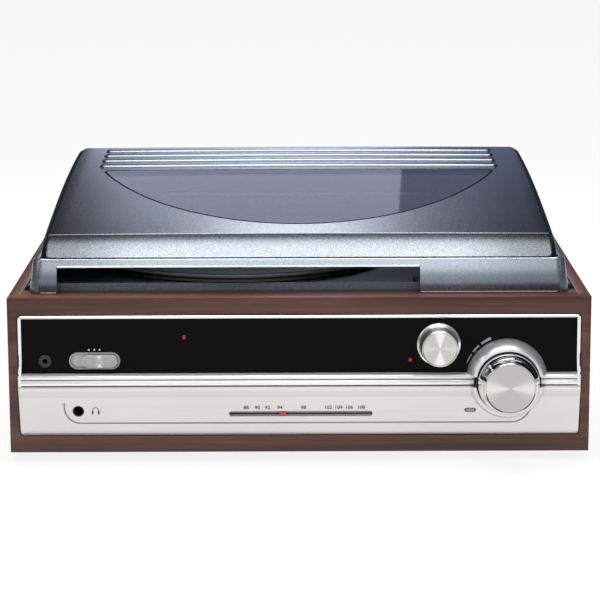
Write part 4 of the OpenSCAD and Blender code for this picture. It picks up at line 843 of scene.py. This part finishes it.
gap_ring = [(22.75, -3), (22.75, 12.2), (22.9, 12.6), (23.2, 12.6), (23.5, 12.0), (23.5, -3)]
add_piece("volume_gap_ring", smooth(lathe(gap_ring, VOLUME), 40), "black", "cabinet")


# ---------------------------------------------------------------- knobs and controls
def knob(name, centre, side, disc, body, node, finish="chrome"):
    """A turned knob: a metal side and a spun disc let into its front, whose finish has a painted fan
    highlight.
    """
    add_piece(name + "_side", smooth(lathe(side, centre, 128), 22), finish, body, [node])
    disc_mesh = smooth(lathe(disc, centre, 128, closed=False), 40)
    add_piece(name + "_disc", disc_mesh, name + "_spun", body)


knob("volume_knob", VOLUME,
     [(17.9, 32.9), (18.1, 33.7), (18.45, 33.9), (18.7, 33.5), (19.3, 31.4), (19.8, 29.4), (20.1, 28.5),
      (20.5, 28.2), (20.75, 27.6), (20.8, 26.9), (21.1, 26.3), (21.8, 24.2), (22.25, 22.6), (22.45, 21.4),
      (22.45, 2.5), (3.05, 2.5), (3.05, 29.5), (17.9, 29.5)],
     [(17.9, 31), (17.9, 33.3), (17.7, 33.55), (9, 33.45), (2, 33.4)], "volume", "volume_knob")
knob("tuning_knob", TUNING,
     [(12.5, 17), (12.7, 17.8), (13.0, 18.0), (13.3, 17.6), (13.9, 13.5), (14.3, 9), (14.5, 3.2),
      (15.2, 2.4), (15.9, 1.9), (16.2, 1.2), (16.2, 0.3), (3.05, 0.3), (3.05, 15), (12.5, 15)],
     [(12.5, 15.5), (12.5, 17.3), (12.3, 17.6), (6, 17.5), (1.5, 17.45)], "tuning", "tuning_knob", "satin")

well = pill(SWITCH, 17.8, 5.2, 5.15, 12)
rim = shaped(prism(pill(SWITCH, 18.85, 6.25, 6.2, 12), -0.6, 3.6, "d"), ("cut", prism(well, -2, 6, "d")),
             ("bevel", 0.25, 2, 50))
add_piece("switch_rim", smooth(rim, 40), "grey", "cabinet")

LENS_FORM = [(0.05, 1.0), (0.8, 0.86), (1.25, 0.5), (1.5, -0.1), (1.5, -2.5), (0.05, -2.5)]
for i, centre in enumerate(((-84.9, -29.6), (81.9, -47.5))):
    lens = smooth(lathe(LENS_FORM, centre, 32), 60)
    add_piece("lamp_lens_%d" % (i + 1), lens, "lamp", "cabinet")

# marks printed on the window start and end at these depths
PRINT = (0.94, 1.3)
# the arc of three marks over the volume knob widens clockwise
WEDGE_R, WEDGE_START, WEDGE_TURN = 31.4, 158.5, 47
marks = []
for start, end in ((WEDGE_START, 145.4), (141.6, 130), (126.2, 111.6)):
    outer = []
    for i in range(13):
        degrees = start + (end - start) * i / 12
        r = WEDGE_R + 0.4 + 1.7 * (WEDGE_START - degrees) / WEDGE_TURN
        a = math.radians(degrees)
        outer.append((VOLUME[0] + r * math.cos(a), VOLUME[1] + r * math.sin(a)))
    marks.append(prism(outer + arc(*VOLUME, WEDGE_R, end, start, 12), *PRINT, "d"))
add_piece("volume_wedge", joined(*marks), "print_grey", "cabinet")

# slide switch: a light plate, and on it the cap with two let-in ribbed fields and two white notches
CAP = (SWITCH[0] + 3.9, SWITCH[1])
EDGE_BREAK = ("bevel", 0.3, 2, 50)
plate = shaped(prism(well, 0.9, 2.4, "d"), EDGE_BREAK)
plate_field = shaped(prism(pill(SWITCH, 17, 4.4, 4.3, 10), 0.75, 1.5, "d"), EDGE_BREAK)
add_piece("switch_plate", smooth(joined(plate, plate_field), 40), "silver_grey", "cabinet",
          ["function_switch"])
fields = [prism(pill((CAP[0] + side * 7.05, CAP[1]), 4.45, 3.4, r, 6), -4, -1.9, "d")
          for side, r in ((-1, 2.8), (1, 1.6))]
cap = shaped(prism(pill(CAP, 12.9, 4.7, 4.4), -2.6, 0.7, "d"), ("bevel", 0.7, 3, 50),
             ("cut", fields[0]), ("cut", fields[1]), ("bevel", 0.18, 2, 60))
ribs = []
for i in range(-3, 4):
    for side in (-1, 1):
        x = CAP[0] + side * 7.25 + i * 1.15
        ribs.append(prism(box(x - 0.25, x + 0.25, CAP[1] - 3.2, CAP[1] + 3.2), -2.1, -1.7, "d"))
stem = prism(box(CAP[0] - 2, CAP[0] + 2, CAP[1] - 1, CAP[1] + 1), 0.6, 9, "d")
add_piece("switch_cap", smooth(joined(cap, stem, *ribs), 40), "silver_grey", "function_slider",
          ["function_slider"])


def triangle(x, half, base, tip, d0, d1):
    return prism([(x - half, base), (x + half, base), (x, tip)], d0, d1, "d")


notches = [triangle(CAP[0], 1.9, CAP[1] + up * 4.5, CAP[1] + up * 1.6, -2.75, -2.3) for up in (-1, 1)]
add_piece("switch_notches", joined(*notches), "white", "function_slider")
arrows = [triangle(SWITCH[0] + x, 0.75, -39.6, -38.2, *PRINT) for x in (-4.2, -0.2, 3.8)]
add_piece("switch_marks", joined(*arrows), "white", "cabinet")


# ---------------------------------------------------------------- jacks, dial scale and small marks
def ring_mesh(centre, r_out, r_in, front, back):
    """A low rounded ring round a jack's opening."""
    middle = (r_out + r_in) / 2
    return lathe([(r_in, -back), (r_in, front - 0.5), (r_in + 0.3, front - 0.1), (middle, front),
                  (r_out - 0.3, front - 0.1), (r_out, front - 0.6), (r_out, -back)], centre, 48)


def face_mark(outline, lift=0.1):
    """A flat mark printed on the leaning silver face."""
    return loft([on_face(outline, lift), on_face(outline, -0.3)])


def face_ring(centre, outline, width):
    """A closed line printed on the silver face, from its outer edge."""
    inner = []
    for x, h in outline:
        k = 1 - width / math.hypot(x - centre[0], h - centre[1])
        inner.append((centre[0] + (x - centre[0]) * k, centre[1] + (h - centre[1]) * k))
    return loft([on_face(outline, 0.12), on_face(inner, 0.12), on_face(inner, -0.18),
                 on_face(outline, -0.18)], round_trip=True)


add_piece("aux_ring", smooth(ring_mesh(AUX, 4.4, 3.5, 0.2, 1.6), 50), "dark_ring", "cabinet")
add_piece("phones_ring", smooth(ring_mesh(PHONES, 4.25, 3.3, 2.2, 3.0), 50), "black", "cabinet")

# the headphone sign: a band over two pads
SIGN_X, SIGN_H = -150.9, -84.6
prints = [face_mark(arc(SIGN_X, SIGN_H + 0.4, 2.5, -5, 185, 14)
                    + arc(SIGN_X, SIGN_H + 0.4, 2.0, 185, -5, 14))]
for side in (-1, 1):
    prints.append(face_mark(pill((SIGN_X + side * 2.2, SIGN_H - 1.4), 0.65, 1.5, 0.5, 4)))
OVAL = (126.45, -84.75)
prints.append(face_ring(OVAL, pill(OVAL, 4.25, 1.65, 1.6), 1.05))
oval_fill = face_mark(pill(OVAL, 3.65, 1.05, 1), 0.08)
add_piece("oval_mark_fill", oval_fill, "print_grey", "cabinet")
add_piece("face_marks", joined(*prints), "print_dark", "cabinet")

NUMBERS = (("88", -39.4), ("90", -31.1), ("92", -23.6), ("94", -14.5), ("98", 3.1), ("102", 21.2),
           ("104", 28.9), ("106", 36.7), ("108", 45.6))
NUMBER_SIZE, NUMBER_H, NUMBER_STRETCH = 3.8, -82.4, 1.05
upright = Matrix.Rotation(math.radians(90) + math.atan(FACE_LEAN), 4, "X")
stretch = Matrix.Diagonal((NUMBER_STRETCH, 1, 1, 1))
numbers = []
for digits, x in NUMBERS:
    curve = bpy.data.curves.new("number", "FONT")
    curve.body = digits
    curve.size = NUMBER_SIZE * MM
    curve.align_x = "CENTER"
    curve.align_y = "CENTER"
    curve.extrude = 0.00003
    curve.offset = 0.00008
    made = bpy.data.objects.new("number", curve)
    scene.collection.objects.link(made)
    mesh = settled(made)
    bpy.data.objects.remove(made)
    mesh.transform(Matrix.Translation(on_face([(x, NUMBER_H)], 0.08)[0]) @ upright @ stretch)
    numbers.append(mesh)
add_piece("dial_numbers", joined(*numbers), "print_dark", "cabinet")


# ---------------------------------------------------------------- the wood's broken edges
def broken_edges(node, finish):
    """The built shape of a panel with its sharp edges broken, as planing leaves them."""
    mesh = NODES[node].data.copy()
    mesh.transform(NODES[node].matrix_world)
    bm = bmesh.new()
    bm.from_mesh(mesh)
    bmesh.ops.remove_doubles(bm, verts=bm.verts, dist=1e-6)
    bmesh.ops.dissolve_limit(bm, angle_limit=math.radians(0.5), verts=bm.verts, edges=bm.edges)
    bm.to_mesh(mesh)
    bm.free()
    mesh = shaped(mesh, ("bevel", 0.5, 2, 50))
    add_piece(node + "_edged", smooth(mesh), finish, "cabinet", [node])


broken_edges("front_frame", "walnut_x")
broken_edges("side_panel_left", "walnut_y")
broken_edges("side_panel_right", "walnut_y")


# ---------------------------------------------------------------- stage
def seen_rays(tree):
    """1 where a camera, glossy or transmission ray looks, otherwise 0."""
    paths = tree.nodes.new("ShaderNodeLightPath")
    total = paths.outputs["Is Camera Ray"]
    for kind in ("Is Glossy Ray", "Is Transmission Ray"):
        more = tree.nodes.new("ShaderNodeMath")
        more.operation = "MAXIMUM"
        tree.links.new(total, more.inputs[0])
        tree.links.new(paths.outputs[kind], more.inputs[1])
        total = more.outputs[0]
    return total


def blended(tree, share, plain, seen, output):
    """Feeds an output with the plain shader where share is 0, and with the seen one where it is 1."""
    choose = tree.nodes.new("ShaderNodeMixShader")
    tree.links.new(share, choose.inputs["Fac"])
    tree.links.new(plain.outputs[0], choose.inputs[1])
    tree.links.new(seen.outputs[0], choose.inputs[2])
    tree.links.new(choose.outputs[0], tree.nodes[output].inputs["Surface"])


def lamp(name, place, aim, size, watts):
    """A white area light that looks from its place at another, both in metres."""
    data = bpy.data.lights.new(name, "AREA")
    data.shape = "RECTANGLE"
    data.size, data.size_y = size
    data.energy = watts
    made = bpy.data.objects.new(name, data)
    scene.collection.objects.link(made)
    made.location = place
    made.rotation_euler = (Vector(aim) - Vector(place)).to_track_quat("-Z", "Y").to_euler()
    made.visible_camera = False


def card(name, corners, color):
    """A studio card that only reflections show: four corners in metres and its brightness."""
    mesh = bpy.data.meshes.new(name)
    mesh.from_pydata(corners, [], [(0, 1, 2, 3)])
    made = bpy.data.objects.new(name, mesh)
    scene.collection.objects.link(made)
    mat = bpy.data.materials.new(name)
    mat.use_nodes = True
    tree = mat.node_tree
    tree.nodes.clear()
    shine = tree.nodes.new("ShaderNodeEmission")
    shine.inputs["Color"].default_value = (*color, 1)
    out = tree.nodes.new("ShaderNodeOutputMaterial")
    tree.links.new(shine.outputs[0], out.inputs["Surface"])
    mesh.materials.append(mat)
    made.visible_camera = made.visible_diffuse = made.visible_shadow = False
    made.visible_transmission = made.visible_volume_scatter = False


world = bpy.data.worlds.new("studio")
world.use_nodes = True
scene.world = world
sky = world.node_tree
backdrop = sky.nodes["Background"]
backdrop.inputs["Color"].default_value = (1, 1, 1, 1)
fill = sky.nodes.new("ShaderNodeBackground")
fill.inputs["Color"].default_value = (0.97, 0.98, 1.0, 1)
fill.inputs["Strength"].default_value = 0.55
blended(sky, seen_rays(sky), fill, backdrop, "World Output")

lamp("overhead_softbox", (0, 0.02, 1.7), (0, 0.02, 0.1), (1.3, 1.3), 31)
lamp("left_softbox", (-1.9, -1.5, 1.1), (0, 0, 0.1), (0.8, 1.1), 10)
lamp("right_softbox", (1.9, -1.5, 1.1), (0, 0, 0.1), (0.8, 1.1), 8)

# cards behind the object, which the cover and the window show: (name, left, right, low, high, brightness)
DARK = (0.035, 0.038, 0.05)
card("back_card_high", [(-2.2, 2.6, 1.88), (2.2, 2.6, 1.88), (2.2, 0.45, 2.35), (-2.2, 0.45, 2.35)], DARK)
for name, x0, x1, low, high, color in (
        ("far_left", -1.6, -0.41, 0.05, 1.9, DARK), ("left", -0.41, 0.2, 0.05, 1.38, (1.02, 1.08, 1.45)),
        ("right", 0.2, 0.5, 0.05, 1.38, (0.25, 0.28, 0.48)), ("far_right", 0.5, 1.6, 0.05, 1.9, DARK),
        ("upper_left", -0.41, -0.15, 1.38, 1.9, DARK), ("upper_right", 0.12, 0.5, 1.38, 1.9, DARK),
        ("upper_middle", -0.15, 0.12, 1.38, 1.9, (8.5, 8.8, 9.2))):
    card("back_card_" + name, [(x0, 2.55, low), (x1, 2.55, low), (x1, 2.5, high), (x0, 2.5, high)], color)

# cards in front, beside and over the object: the corners of the right ones, which the left ones mirror
SIDE_CARDS = {
    "front": [(0.95, -2.6, 0.01), (1.5, -0.35, 0.01), (1.5, -0.35, 1.7), (0.95, -2.6, 1.7)],
    "side": [(1.5, -0.7, 0.02), (1.5, 2.7, 0.02), (2.3, 2.7, 2.3), (2.3, -0.7, 2.3)],
    "top": [(0.72, -0.9, 1.75), (2.4, -0.9, 1.75), (2.4, 1.3, 1.75), (0.72, 1.3, 1.75)],
}
for side, hand in ((-1, "left"), (1, "right")):
    for place, corners in SIDE_CARDS.items():
        card("%s_card_%s" % (place, hand), [(side * x, y, z) for x, y, z in corners], DARK)

floor_mesh = bpy.data.meshes.new("floor")
floor_mesh.from_pydata([(-9, -9, 0), (9, -9, 0), (9, 9, 0), (-9, 9, 0)], [], [(0, 1, 2, 3)])
floor = bpy.data.objects.new("floor", floor_mesh)
scene.collection.objects.link(floor)
floor_mat = bpy.data.materials.new("floor_paper")
floor_mat.use_nodes = True
tree = floor_mat.node_tree
paper = tree.nodes["Principled BSDF"]
paper.inputs["Base Color"].default_value = (0.86, 0.86, 0.86, 1)
paper.inputs["Roughness"].default_value = 0.9
paper.inputs["Specular IOR Level"].default_value = 0.1
glow = tree.nodes.new("ShaderNodeEmission")
glow.inputs["Strength"].default_value = 1.0
share = tree.nodes.new("ShaderNodeMath")
share.operation = "MULTIPLY"
share.inputs[1].default_value = 0.86
tree.links.new(seen_rays(tree), share.inputs[0])
blended(tree, share.outputs[0], paper, glow, "Material Output")
floor.data.materials.append(floor_mat)

scene.view_settings.view_transform = "Standard"
